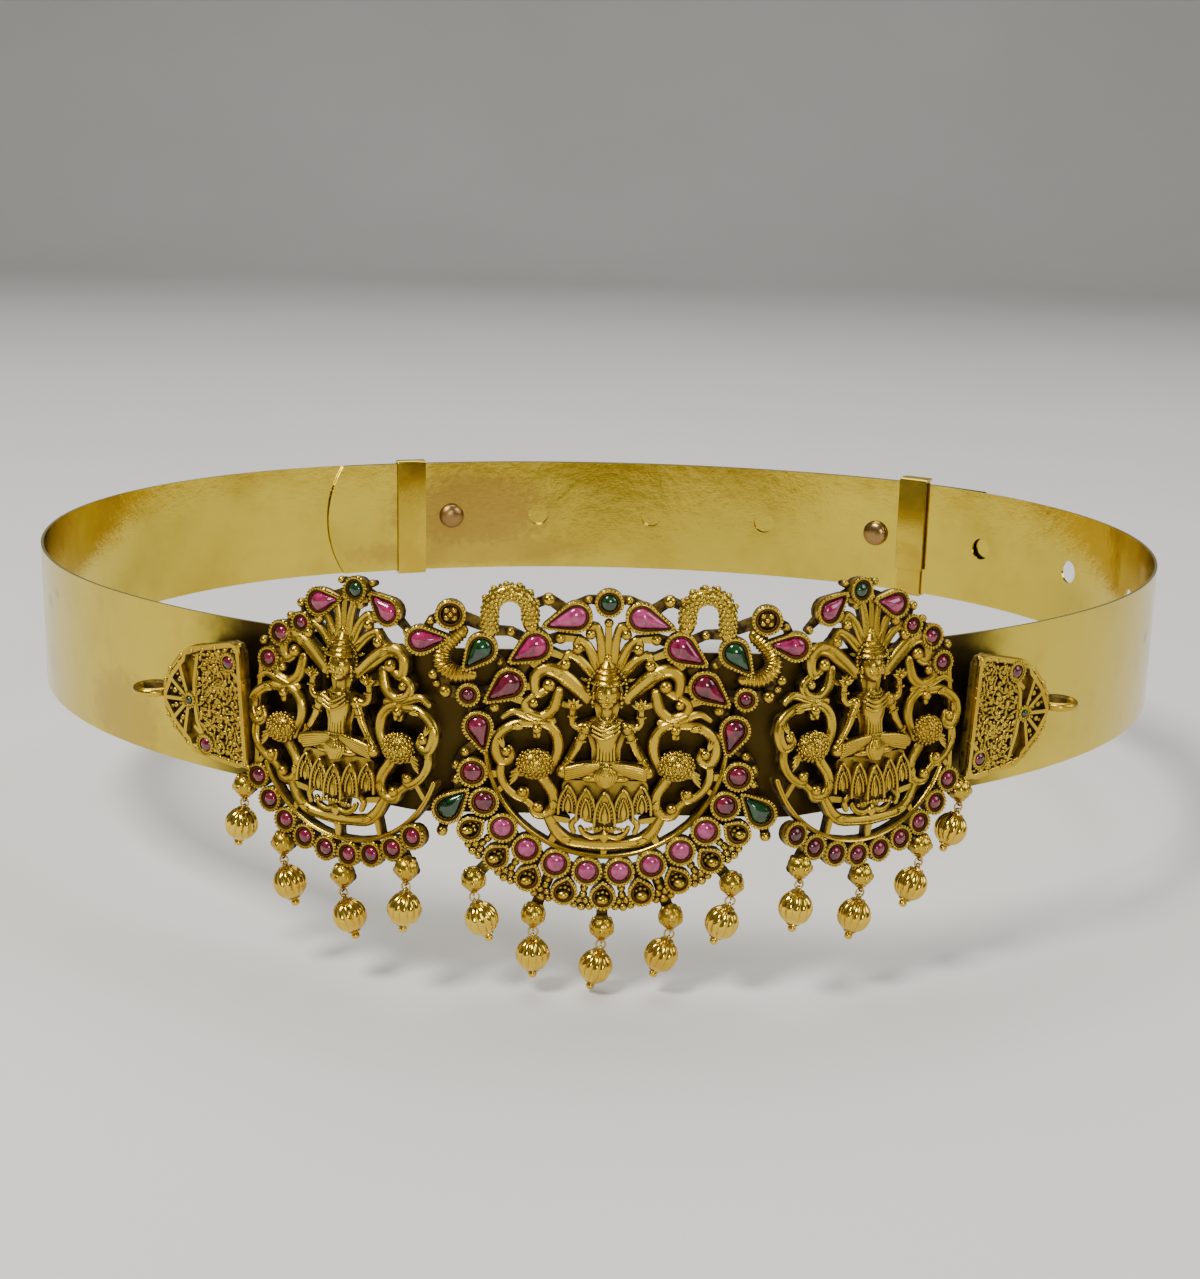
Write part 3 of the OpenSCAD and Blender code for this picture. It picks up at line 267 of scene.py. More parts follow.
class Surface:
    """A closed mesh in millimetres that grows from tubes, balls and turned forms."""

    def __init__(self, m: Array) -> None:
        """Starts an empty surface; m is the frame in which its points are given."""
        self.verts, self.quads, self.tris, self.marks = [], [], [], ([], [])
        self.m, self.count, self.mark = m, 0, 0

    @contextmanager
    def inside(self, m: Array) -> Iterator[None]:
        """Adds what follows in a frame inside the present one.

        Args:
            m: matrix from the inner frame to the present one.

        Yields:
            Nothing; afterwards the present frame is back.
        """
        outer, self.m = self.m, self.m @ m
        yield
        self.m = outer

    def add(self, verts: Array, quads: Array, tris: Array) -> None:
        """Adds a mesh.

        Args:
            verts: the points, n by 3.
            quads: rows of four vertex numbers.
            tris: rows of three vertex numbers.
        """
        self.verts.append(verts.reshape(-1, 3))
        self.quads.append(quads.reshape(-1, 4) + self.count)
        self.tris.append(tris.reshape(-1, 3) + self.count)
        for marks, rows in zip(self.marks, (self.quads, self.tris)):
            marks.append(np.full(len(rows[-1]), self.mark, np.int32))
        self.count += len(self.verts[-1])

    def rings(self, rings: Array, looped: bool = False) -> None:
        """Adds a skin over rings of points; open ends are closed by a fan to their middle.

        Args:
            rings: n rings by k points by 3.
            looped: whether the last ring joins the first.
        """
        rings = placed(self.m, rings)
        n, k = rings.shape[:2]
        i, j = np.meshgrid(np.arange(n if looped else n - 1), np.arange(k), indexing="ij")
        i2, j2 = (i + 1) % n, (j + 1) % k
        quads = columns(i * k + j, i * k + j2, i2 * k + j2, i2 * k + j)
        verts, tris = rings.reshape(-1, 3), np.zeros((0, 3), int)
        if not looped:
            a = np.arange(k)
            b = (a + 1) % k
            tris = np.concatenate([columns(n * k, b, a),
                                   columns(n * k + 1, (n - 1) * k + a, (n - 1) * k + b)])
            verts = np.concatenate([verts, rings[[0, -1]].mean(axis=1)])
        self.add(verts, quads, tris)

    def balls(self, centres: Array | list, radii: Array | list | float, n: int = 8) -> None:
        """Adds many balls at once: one ball of n sides, scaled and moved to each middle.

        Args:
            centres: k by 3 middles.
            radii: one radius, k radii, or k by 3 half axes.
            n: sides of each ball.
        """
        centres = np.asarray(centres, float).reshape(-1, 3)
        radii = np.asarray(radii, float)
        if radii.ndim < 2:
            radii = np.broadcast_to(radii, (len(centres),))[:, None] * np.ones(3)
        t = np.linspace(0, np.pi, max(4, n // 2 + 1))[1:-1]
        a = circle(n)
        ring = columns(np.outer(np.sin(t), np.cos(a)), np.outer(np.sin(t), np.sin(a)),
                       np.outer(np.cos(t), np.ones(n))).reshape(-1, 3)
        base = np.concatenate([ring, [[0, 0, 1], [0, 0, -1]]])
        rows = len(t)
        i, j = np.meshgrid(np.arange(rows - 1), np.arange(n), indexing="ij")
        j2 = (j + 1) % n
        quads = columns(i * n + j, (i + 1) * n + j, (i + 1) * n + j2, i * n + j2).reshape(-1, 4)
        k = np.arange(n)
        k2, low = (k + 1) % n, (rows - 1) * n
        tris = np.concatenate([columns(rows * n, k, k2),
                               columns(rows * n + 1, low + k2, low + k)])
        verts = placed(self.m, centres[:, None, :] + radii[:, None, :] * base[None])
        step = (np.arange(len(centres)) * len(base))[:, None, None]
        self.add(verts, quads[None] + step, tris[None] + step)

    def lathe(self, profile: list[Point], n: int = 24, lobes: int = 0, depth: float = 0.0,
              flat: float = 1.0) -> None:
        """Adds a turned form about Z: its radius shrinks by a cosine between the lobes.

        Args:
            profile: rows of radius and height, from one end to the other.
            n: sides.
            lobes: number of lobes.
            depth: depth of the grooves between them, as a share of the radius.
            flat: scale along Y.
        """
        p, a = np.array(profile, float), circle(n)
        swell = 1 - depth * (1 - np.abs(np.cos(lobes * a / 2))) if lobes else np.ones(n)
        r = p[:, :1] * swell[None]
        self.rings(columns(r * np.cos(a), flat * r * np.sin(a), p[:, 1:]))

    def torus(self, r: float, w: float, n: int = 28, k: int = 10) -> None:
        """Adds a wire ring about Z.

        Args:
            r: radius of its middle.
            w: radius of the wire.
            n: steps round the ring.
            k: sides of the wire.
        """
        a, b = circle(n)[:, None], circle(k)
        rr = r + w * np.cos(b)[None]
        self.rings(columns(rr * np.cos(a), rr * np.sin(a), w * np.sin(b)), looped=True)

    def tube(self, path: Array, base: float, rise: float, drop: float, sides: int = 12,
             groove: float = 0.0, ribs: float = 0.0, rib_step: float = 0.55) -> None:
        """Adds a ribbon: a flattened dome carried along a path and rounded off at both ends.

        Args:
            path: rows of x, y and half width.
            base: height of the section's widest place.
            rise: height of the top over it, as a share of the half width.
            drop: depth of the bottom under it.
            sides: points round the section.
            groove: depth of a line along the top, as a share of the half width.
            ribs: depth of ribs across, as a share of the half width.
            rib_step: spacing of those ribs.
        """
        d = np.gradient(path[:, :2], axis=0)
        d /= np.linalg.norm(d, axis=1, keepdims=True) + 1e-9
        wave = 0.5 + 0.5 * np.cos(2 * np.pi * lengths(path[:, :2]) / rib_step)
        w = path[:, 2] * (1 - ribs * wave)
        n, ends = len(w), np.array([0.98, 0.85, 0.55])
        t = np.concatenate([-ends, np.zeros(n), ends[::-1]])
        i = np.concatenate([np.zeros(3, int), np.arange(n), np.full(3, n - 1)])
        full, d = w[i], d[i]
        p, share = path[i, :2] + d * (full * t)[:, None], np.sqrt(1 - t * t)[:, None]
        a = circle(sides)
        c, s = np.cos(a), np.sin(a)
        across = columns(-d[:, 1], d[:, 0])
        full = full[:, None]
        flat = p[:, None] + across[:, None] * (share * full * c)[..., None]
        up = share * rise * full * (s - groove / max(rise, 1e-6) * np.exp(-(c / 0.3) ** 2))
        z = base + np.where(s >= 0, up, share * drop * s)
        self.rings(np.concatenate([flat, z[..., None]], axis=-1))

    def piece(self, name: str, slot: Slot, node: str, *materials: bpy.types.Material,
              sharp: float = 50.0) -> bpy.types.Object:
        """Makes the object, with every normal outward, puts it under the root and returns it.

        Args:
            name: its name.
            slot: not used.
            node: the solid node that it replaces, or "" where it lies over one.
            materials: its materials; mark is the number of the one that new faces take.
            sharp: edges above this angle in degrees stay sharp.

        Returns:
            The object.
        """
        mesh = bpy.data.meshes.new(name)
        quads, tris = np.concatenate(self.quads), np.concatenate(self.tris)
        totals = np.repeat([4, 3], [len(quads), len(tris)]).astype(np.int32)
        starts = np.concatenate([[0], np.cumsum(totals)[:-1]]).astype(np.int32)
        mesh.vertices.add(self.count)
        mesh.loops.add(int(totals.sum()))
        mesh.polygons.add(len(totals))
        verts = (np.concatenate(self.verts) * MM).astype(np.float32)
        loops = np.concatenate([quads.ravel(), tris.ravel()]).astype(np.int32)
        mesh.vertices.foreach_set("co", verts.ravel())
        mesh.loops.foreach_set("vertex_index", loops)
        mesh.polygons.foreach_set("loop_start", starts)
        mesh.polygons.foreach_set("loop_total", totals)
        marks = np.concatenate(self.marks[0] + self.marks[1])
        mesh.polygons.foreach_set("material_index", marks)
        mesh.update(calc_edges=True)
        mesh.validate()
        work = bmesh.new()
        work.from_mesh(mesh)
        bmesh.ops.recalc_face_normals(work, faces=work.faces)
        work.to_mesh(mesh)
        work.free()
        mesh.polygons.foreach_set("use_smooth", np.ones(len(mesh.polygons), bool))
        mesh.set_sharp_from_angle(angle=math.radians(sharp))
        for material in materials:
            mesh.materials.append(material)
        obj = linked(name, mesh)
        log.info("%s: %d faces", name, len(mesh.polygons))
        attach(obj, "root")
        if node:
            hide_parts(node)
        return obj


def linked(name: str, data: bpy.types.ID) -> bpy.types.Object:
    """Puts an object with this data into the scene.

    Args:
        name: its name.
        data: its mesh, light or camera.

    Returns:
        The object.
    """
    obj = bpy.data.objects.new(name, data)
    bpy.context.scene.collection.objects.link(obj)
    return obj


def smooth_path(points: Array | list, step: float) -> Array:
    """A Catmull-Rom curve: between two rows, a cubic whose slope at each is half the step over it.

    Args:
        points: n rows; the first two columns are x and y.
        step: spacing along the curve in millimetres.

    Returns:
        The rows along the curve.
    """
    points = np.asarray(points, float)
    p = np.concatenate([[2 * points[0] - points[1]], points, [2 * points[-1] - points[-2]]])
    rows = []
    for a, b, c, d in zip(p, p[1:], p[2:], p[3:]):
        n = max(2, int(np.ceil(np.linalg.norm(c[:2] - b[:2]) / step)))
        t = (np.arange(n) / n)[:, None]
        rows.append(0.5 * (2 * b + (c - a) * t + (2 * a - 5 * b + 4 * c - d) * t ** 2
                           + (3 * b - a - 3 * c + d) * t ** 3))
    return np.concatenate(rows + [points[-1:]])


def pear(w: float, length: float, n: int) -> Array:
    """Outline of a pear: a big arc at the middle, a small one at the tip along +X, and tangents.

    Args:
        w: width.
        length: length.
        n: number of points.

    Returns:
        n by 2 points.
    """
    tip = 0.35
    d = length - w / 2 - tip
    a = math.acos(min(1, (w / 2 - tip) / d))
    u, v = np.linspace(a, 2 * np.pi - a, n * 3 // 4), np.linspace(-a, a, 7)
    big = w / 2 * columns(np.cos(u), np.sin(u))
    loop = np.concatenate([big, [d, 0] + tip * columns(np.cos(v), np.sin(v)), big[:1]])
    s = lengths(loop)
    t = np.linspace(0, s[-1], n, endpoint=False)
    return columns(np.interp(t, s, loop[:, 0]), np.interp(t, s, loop[:, 1]))


@dataclass(frozen=True)
class Setting:
    """A stone's place in a casting: x, y, tip heading, width and length, round if length is 0."""

    x: float
    y: float
    heading: float
    w: float
    length: float = 0.0
    mark: int = 0

    def outline(self, inset: float, n: int) -> Array:
        """Outline moved inward.

        Args:
            inset: distance inward in millimetres.
            n: number of points.

        Returns:
            n by 2 points in the casting's frame.
        """
        if self.length:
            p = pear(self.w - 2 * inset, self.length - 2.2 * inset, n)
        else:
            p = (self.w / 2 - inset) * columns(np.cos(circle(n)), np.sin(circle(n)))
        h = math.radians(self.heading)
        c, s = math.cos(h), math.sin(h)
        return p @ np.array([[c, s], [-s, c]]) + [self.x, self.y]


def flipped(row: tuple[float, ...], side: int) -> Setting:
    """A setting from x, y, heading, width and length, mirrored for the left side (-1)."""
    return Setting(side * row[0], row[1], row[2] if side > 0 else 180 - row[2], *row[3:])


def on_ring(c: Point, r: float, a: float) -> Point:
    """Point at radius r about c, a degrees from straight down."""
    return c[0] + r * math.sin(math.radians(a)), c[1] - r * math.cos(math.radians(a))


# The raised design, right half: [x, y, half width] along each scroll, as in the solid model
SCROLLS = [
    [[3.6, 7.6, 1.1], [6.2, 10.1, 1.2], [8.7, 12.0, 1.2], [10.9, 12.5, 1.1], [12.4, 11.3, 0.95],
     [12.6, 9.4, 0.75], [12.0, 8.0, 0.7], [10.8, 8.6, 0.6]],
    [[8.4, 8.6, 0.7], [8.7, 6.9, 0.9], [9.5, 5.1, 0.85], [11.4, 3.9, 0.8], [13.6, 4.7, 0.75],
     [14.2, 6.5, 0.6], [12.8, 7.7, 0.5]],
    [[18.0, 3.8, 0.3], [16.2, 4.8, 0.5], [13.9, 4.1, 0.7], [11.5, 3.3, 0.7], [9.4, 3.2, 0.5]],
    [[9.8, -5.6, 0.7], [8.4, -2.4, 0.8], [8.6, 0.5, 0.85], [10.2, 2.4, 0.8], [12.1, 2.5, 0.7],
     [12.3, 0.6, 0.4]],
    [[12.1, 2.6, 0.6], [15.6, 2.5, 0.75], [18.5, 0.7, 0.8], [19.3, -1.8, 0.85],
     [18.2, -4.3, 0.8], [16.5, -3.6, 0.6], [16.9, -2.0, 0.5]],
    [[18.2, -4.4, 0.55], [18.4, -6.6, 0.6], [17.6, -8.7, 0.6], [16.1, -10.3, 0.6],
     [14.4, -11.1, 0.6], [13.9, -9.7, 0.5]],
    [[10.8, -7.4, 0.9], [9.2, -9.9, 0.85], [8.9, -12.2, 0.8], [10.2, -13.9, 0.7],
     [12.1, -13.9, 0.6], [12.9, -12.4, 0.5], [14.4, -11.1, 0.5]],
    [[10.2, -13.9, 0.6], [9.4, -15.4, 0.8], [8.3, -17.2, 0.9], [6.4, -18.7, 0.9],
     [3.4, -19.3, 0.8], [0, -19.5, 0.9]],
    [[1.0, 14.0, 0.7], [1.3, 17.6, 0.6], [2.1, 20.2, 0.6], [3.1, 19.6, 0.6]],
    [[1.8, 13.0, 0.8], [3.4, 16.5, 0.65], [5.0, 18.0, 0.6], [5.4, 17.0, 0.6]],
    [[2.4, 11.6, 0.8], [4.8, 14.2, 0.65], [6.8, 15.2, 0.6], [7.4, 14.2, 0.6]]]
# Balls in the curls: x, y and radius
SCROLL_BALLS = [[10.1, 9.7, 1.15], [12.7, 6.4, 0.8], [3.1, 18.9, 0.9], [5.2, 16.3, 0.95],
                [7.3, 13.4, 0.95], [17.4, -2.4, 0.9], [14.5, -9.8, 0.9], [11.8, -12.6, 0.95]]
# Pear stones of the middle panel, right half: x, y, tip heading, width and length
CENTRE_PEARS = {
    "top": (5.6, 22.0, -18, 5.5, 8.9), "upper": (12.5, 16.7, -32, 5.8, 8.5),
    "shoulder": (16.9, 9.9, -37, 5.8, 8.5), "feather": (21.8, 16.1, -51, 5.5, 7.9),
    "outer": (32.4, 17.4, 175, 5.2, 7.9), "waist": (22.4, 2.2, -105, 5.4, 7.8),
    "low": (27.6, -13.0, 135, 5.6, 8.0)}
# Feather of a top peacock: x, y and half width
FEATHER = [[25.2, 19.0, 0.9], [28.2, 16.0, 1.2], [28.6, 13.2, 1.2], [26.6, 11.4, 1.2],
           [23.6, 11.2, 0.9]]
# Grains between two blank settings: radius from the ring's middle, angle aside and size
CLUSTER = [(27.4, 0.0, 0.78), (28.6, 0.0, 0.78), (29.7, -1.3, 0.76), (29.7, 1.3, 0.76),
           (30.8, -2.6, 0.76), (31.0, 0.0, 0.82), (30.8, 2.6, 0.76)]
# Granules of the middle panel, right half: x, y and radius
GRAINS = [[3.5, 24.8, 0.75], [10.4, 24.8, 1.15], [8.3, 18.1, 1.1], [19.6, 5.5, 1.05],
          [18.6, 13.5, 0.6], [24.6, -2.8, 0.9], [26.2, -5.2, 0.85], [26.1, -7.8, 0.95],
          [28.1, 8.1, 1.2], [30.2, 11.1, 0.9], [29.6, 9.5, 0.7], [16.8, 18.9, 0.8],
          [30.6, 20.6, 0.7], [28.6, -17.4, 1.0]]
# Foot of the lotus seat: [x, y, half width] along each scroll
SEAT_FOOT = [
    [[0.6, -17.6, 0.5], [2.2, -17.9, 0.55], [3.6, -17.2, 0.5], [4.2, -16.2, 0.4]],
    [[4.8, -14.4, 0.45], [5.8, -15.6, 0.5], [5.4, -16.9, 0.45]],
    [[1.0, -14.3, 0.35], [2.6, -14.6, 0.4], [4.0, -14.2, 0.35]]]
# Turned forms of the figure: radius and height
CROWN = [(0.1, 10.0), (2.45, 10.1), (2.75, 10.5), (2.5, 10.9), (2.3, 11.0), (2.5, 11.4),
         (2.1, 11.9), (1.9, 12.0), (2.1, 12.35), (1.6, 12.9), (1.4, 13.0), (1.55, 13.3),
         (1.0, 13.9), (0.7, 14.3), (0.85, 14.7), (0.5, 15.2), (0.1, 15.5)]
BODY = [(0.1, -4.6), (2.1, -4.5), (1.95, -3.8), (1.7, -3.0), (1.75, -2.0), (2.1, -0.6),
        (2.55, 0.8), (2.75, 1.7), (2.6, 2.5), (1.7, 3.2), (1.1, 3.7), (1.0, 4.6), (1.05, 5.6),
        (0.1, 5.8)]
# Beads along the edge of an end piece: x and y
END_EDGE = [(-9.2, 10.9), (-7.4, 10.9), (-5.4, 10.6), (-3.4, 10.3), (2.2, 9.2), (4.4, 8.4),
            (7.4, 5.6), (8.8, 3.4), (8.8, -3.4), (7.4, -5.6), (4.4, -8.4), (1.8, -9.4),
            (-1.0, -9.9), (-4.0, -10.4)]


@dataclass(frozen=True)
class Frames:
    """Places of the castings, as matrices from a casting's own frame to the belt's."""

    strap: Strap
    casting: Casting

    def centre(self) -> Array:
        """Frame of the middle panel."""
        stand = self.strap.thick / 2 + self.casting.centre_stand
        return moved(0, -self.strap.front_depth - stand, 0) @ turned("X", 90)

    def side(self, side: int) -> Array:
        """Frame of a side panel.

        Args:
            side: 1 right, -1 left.

        Returns:
            A 4 by 4 matrix.
        """
        s, c = self.strap, self.casting
        lift = c.right_lift if side > 0 else c.left_lift
        return (moved(side * s.corner, -s.front_depth, 0) @ turned("Z", side * s.facet_yaw)
                @ moved(side * c.side_along, -(s.thick / 2 + c.side_stand), lift)
                @ turned("X", 90 - c.side_lean))

    def wing(self, side: int, body: bool = True) -> Array:
        """Frame of an end piece.

        Args:
            side: 1 right, -1 left.
            body: whether the casting's own droop and half turn are in it.

        Returns:
            A 4 by 4 matrix.
        """
        s, c = self.strap, self.casting
        turn = c.wing_turn_right if side > 0 else c.wing_turn_left
        m = (moved(0, s.front_c, 0) @ turned("Z", side * turn)
             @ moved(0, -s.front_r - s.thick / 2 - c.wing_stand, 0) @ turned("X", 90))
        return m @ turned("Z", -side * c.wing_droop + (180 if side < 0 else 0)) if body else m


def arc(cx: float, cy: float, r: float, angles: Array) -> list[Triple]:
    """Points of an arc as x, y and heading; a heading is in degrees from +Y towards +X."""
    t = np.radians(angles)
    return list(zip(cx + r * np.sin(t), cy + r * np.cos(t), angles))


class MiddleLine:
    """The strap's middle line, from its inner end round to its outer end."""

    def __init__(self, strap: Strap, step: float = 0.6) -> None:
        """Draws the line as arcs: inner lap, oval, outer lap and the springing tail.

        Args:
            strap: sizes of the strap.
            step: step along the arcs in degrees.
        """
        self.strap, self.step = strap, step
        s = strap
        start = self.phi(1, s.stud_right_at + s.outer_tail - s.spring_l)
        end = start + s.spring_l / s.spring_r * 180 / math.pi
        rows = (self.run(-1, self.phi(-1, s.inner_end), 0, -s.lap) + self.run(1, 0, 90)
                + self.front(1) + self.front(-1) + self.run(-1, 90, 0)
                + self.run(1, 0, start, s.lap)
                + arc(*self.back(1, start, s.lap - s.spring_r), s.spring_r,
                      np.linspace(start, end, 12)))
        p = np.array(rows)
        p = p[np.concatenate([[True], np.linalg.norm(np.diff(p[:, :2], axis=0), axis=1) > 1e-3])]
        self.points = p[:, :2]
        self.heading = np.degrees(np.unwrap(np.radians(p[:, 2])))
        self.u = lengths(self.points)

    def corner_turn(self, side: int) -> Triple:
        """Depth, big radius and turn in degrees of the back half on one side.

        Args:
            side: 1 right, -1 left.

        Returns:
            The three numbers.
        """
        s = self.strap
        b = s.back_depth - s.lap if side > 0 else s.back_depth
        r = big_radius(s.waist_w / 2, b, s.back_side_r)
        return b, r, math.degrees(math.atan2(s.waist_w / 2 - s.back_side_r, r - b))

    def phi(self, side: int, along: float) -> float:
        """Heading of the back half at a length from its middle: each arc turns by length/radius.

        Args:
            side: 1 right, -1 left.
            along: the length.

        Returns:
            The heading in degrees.
        """
        _, r, turn = self.corner_turn(side)
        length = math.radians(turn) * r
        if along <= length:
            return math.degrees(along / r)
        return turn + math.degrees((along - length) / self.strap.back_side_r)

    def back(self, side: int, phi: float, off: float) -> Point:
        """Point of the back half: on the big arc up to its turn, then on the corner arc.

        Args:
            side: 1 right, -1 left.
            phi: heading in degrees.
            off: distance outward from the middle line.

        Returns:
            x and y.
        """
        s = self.strap
        b, r, turn = self.corner_turn(side)
        t = math.radians(phi)
        if phi <= turn:
            return side * (r + off) * math.sin(t), b - r + (r + off) * math.cos(t)
        k = s.back_side_r + off
        return side * (s.waist_w / 2 - s.back_side_r + k * math.sin(t)), k * math.cos(t)

    def run(self, side: int, start: float, end: float, off: float = 0.0) -> list[Triple]:
        """Points of the back half between two headings, as x, y and heading.

        Args:
            side: 1 right, -1 left.
            start: first heading.
            end: last heading.
            off: distance outward from the middle line.

        Returns:
            The points.
        """
        n = int(abs(end - start) / self.step) + 1
        return [(*self.back(side, a, off), side * a) for a in np.linspace(start, end, n)]

    def front(self, side: int) -> list[Triple]:
        """Points of the front half: corner arc, big arc, then the bend into the middle flat.

        Args:
            side: 1 right, -1 left, walked the other way.

        Returns:
            Rows of x, y and heading.
        """
        s = self.strap
        turn = math.degrees(math.atan2(s.waist_w / 2 - s.front_side_r, s.front_r - s.front_depth))
        bend = s.bend_r * math.tan(math.radians(s.facet_yaw / 2))
        arcs = ((s.waist_w / 2 - s.front_side_r, 0, s.front_side_r), (0, s.front_c, s.front_r),
                (s.corner - bend, s.bend_r - s.front_depth, s.bend_r))
        ends = (90, 180 - turn, 180 - s.facet_yaw, 180)
        rows = []
        for (cx, cy, r), a, b in zip(arcs, ends, ends[1:]):
            rows += arc(cx, cy, r, np.linspace(a, b, int(abs(b - a) / self.step) + 2))
        return rows if side > 0 else [(-x, y, 360 - a) for x, y, a in reversed(rows)]

    def at(self, u: Array) -> tuple[Array, Array]:
        """Points and outward directions at lengths along the line.

        Args:
            u: lengths from the inner end.

        Returns:
            Points and directions, each n by 2.
        """
        h = np.radians(np.interp(u, self.u, self.heading))
        x, y = (np.interp(u, self.u, self.points[:, i]) for i in (0, 1))
        return columns(x, y), columns(np.sin(h), np.cos(h))

    def nearest(self, x: float, y: float, reach: float, n: int) -> float:
        """Length along the line nearest to a point.

        Args:
            x, y: the point.
            reach: length from the inner end that is searched.
            n: number of places tried.

        Returns:
            The length from the inner end.
        """
        fine = np.linspace(0, reach, n)
        p, _ = self.at(fine)
        return float(fine[np.argmin(np.hypot(p[:, 0] - x, p[:, 1] - y))])

    def at_back(self, along: float, off: float = 0.0) -> Array:
        """Frame on the back half: +Y out of the belt, +X to the right from inside.

        Args:
            along: length from the middle of the back, negative to the left.
            off: distance outward.

        Returns:
            A 4 by 4 matrix.
        """
        side = 1 if along > 0 else -1
        phi = self.phi(side, abs(along))
        return moved(*self.back(side, phi, off), 0) @ turned("Z", -side * phi)


class Nodes:
    """Small helper that wires shader nodes."""

    def __init__(self, tree: bpy.types.NodeTree) -> None:
        """Keeps the tree to wire."""
        self.tree = tree

    def feed(self, node: bpy.types.Node, values: dict[str | int, Value]) -> None:
        """Links sockets to a node's inputs, or sets them to plain values.

        Args:
            node: the node.
            values: input name or number to a value or a socket.
        """
        for key, value in values.items():
            if isinstance(value, Socket):
                self.tree.links.new(value, node.inputs[key])
            else:
                node.inputs[key].default_value = value

    def add(self, kind: str, values: dict[str | int, Value] | None = None,
            **settings: object) -> bpy.types.Node:
        """Adds a node.

        Args:
            kind: its type name, without the word that all share.
            values: input name or number to a value or a socket.
            settings: its own settings.

        Returns:
            The node.
        """
        node = self.tree.nodes.new(f"ShaderNode{kind}")
        for key, value in settings.items():
            setattr(node, key, value)
        self.feed(node, values or {})
        return node

    def math(self, op: str, a: Value, b: Value = 0.0, clamp: bool = False) -> Socket:
        """Result of a Math node; clamp keeps it between 0 and 1."""
        return self.add("Math", {0: a, 1: b}, operation=op, use_clamp=clamp).outputs[0]

    def plus(self, a: Value, b: Value, clamp: bool = False) -> Socket:
        """Sum of two values."""
        return self.math("ADD", a, b, clamp)

    def minus(self, a: Value, b: Value) -> Socket:
        """Difference of two values."""
        return self.math("SUBTRACT", a, b)

    def times(self, a: Value, b: Value, clamp: bool = False) -> Socket:
        """Product of two values."""
        return self.math("MULTIPLY", a, b, clamp)

    def mix(self, factor: Value, a: Value, b: Value) -> Socket:
        """Mix of two colours; factor is the share of the second."""
        return self.add("Mix", {0: factor, 6: a, 7: b}, data_type="RGBA").outputs[2]

    def span(self, value: Value, low: Value, high: Value, to_low: float = 0.0,
             to_high: float = 1.0) -> Socket:
        """Value taken smoothly from the span low to high to the span to_low to to_high."""
        return self.add("MapRange", {0: value, 1: low, 2: high, 3: to_low, 4: to_high},
                        interpolation_type="SMOOTHSTEP").outputs[0]

    def place(self) -> Socket:
        """Object coordinates."""
        return self.add("TexCoord").outputs["Object"]

    def attribute(self, name: str) -> Socket:
        """A number kept on the mesh's points."""
        return self.add("Attribute", attribute_name=name).outputs["Fac"]

    def noise(self, place: Socket, scale: Value, detail: float, **more: float) -> Socket:
        """Value of a noise; more holds its other inputs."""
        values = {"Vector": place, "Scale": scale, "Detail": detail, **more}
        return self.add("TexNoise", values).outputs["Fac"]

    def bump(self, height: Socket, strength: Value, distance: float, **more: Socket) -> Socket:
        """Normal of a bump; more may hold the normal under it."""
        values = {"Strength": strength, "Distance": distance, "Height": height, **more}
        return self.add("Bump", values).outputs[0]

    def group(self, tree: bpy.types.NodeTree, values: dict[str, Value]) -> dict[str, Socket]:
        """Outputs of a shared group that is placed with its own values."""
        return self.add("Group", values, node_tree=tree).outputs


def new_group(name: str, inputs: dict[str, str], outputs: dict[str, str]
              ) -> tuple[Nodes, dict[str, Socket], bpy.types.Node]:
    """Starts a shader node group.

    Args:
        name: its name.
        inputs: socket names to socket types.
        outputs: socket names to socket types.

    Returns:
        Its wiring helper, the sockets of its inputs, and its output node.
    """
    tree = bpy.data.node_groups.new(name, "ShaderNodeTree")
    for way, sockets in (("INPUT", inputs), ("OUTPUT", outputs)):
        for key, kind in sockets.items():
            tree.interface.new_socket(key, in_out=way, socket_type=kind)
    start, end = (tree.nodes.new(kind) for kind in ("NodeGroupInput", "NodeGroupOutput"))
    return Nodes(tree), start.outputs, end


def new_material(name: str) -> tuple[bpy.types.Material, Nodes, bpy.types.Node]:
    """Starts a material.

    Args:
        name: its name.

    Returns:
        The material, its wiring helper and its Principled node.
    """
    material = bpy.data.materials.new(name)
    material.use_nodes = True
    tree = material.node_tree
    return material, Nodes(tree), tree.nodes["Principled BSDF"]


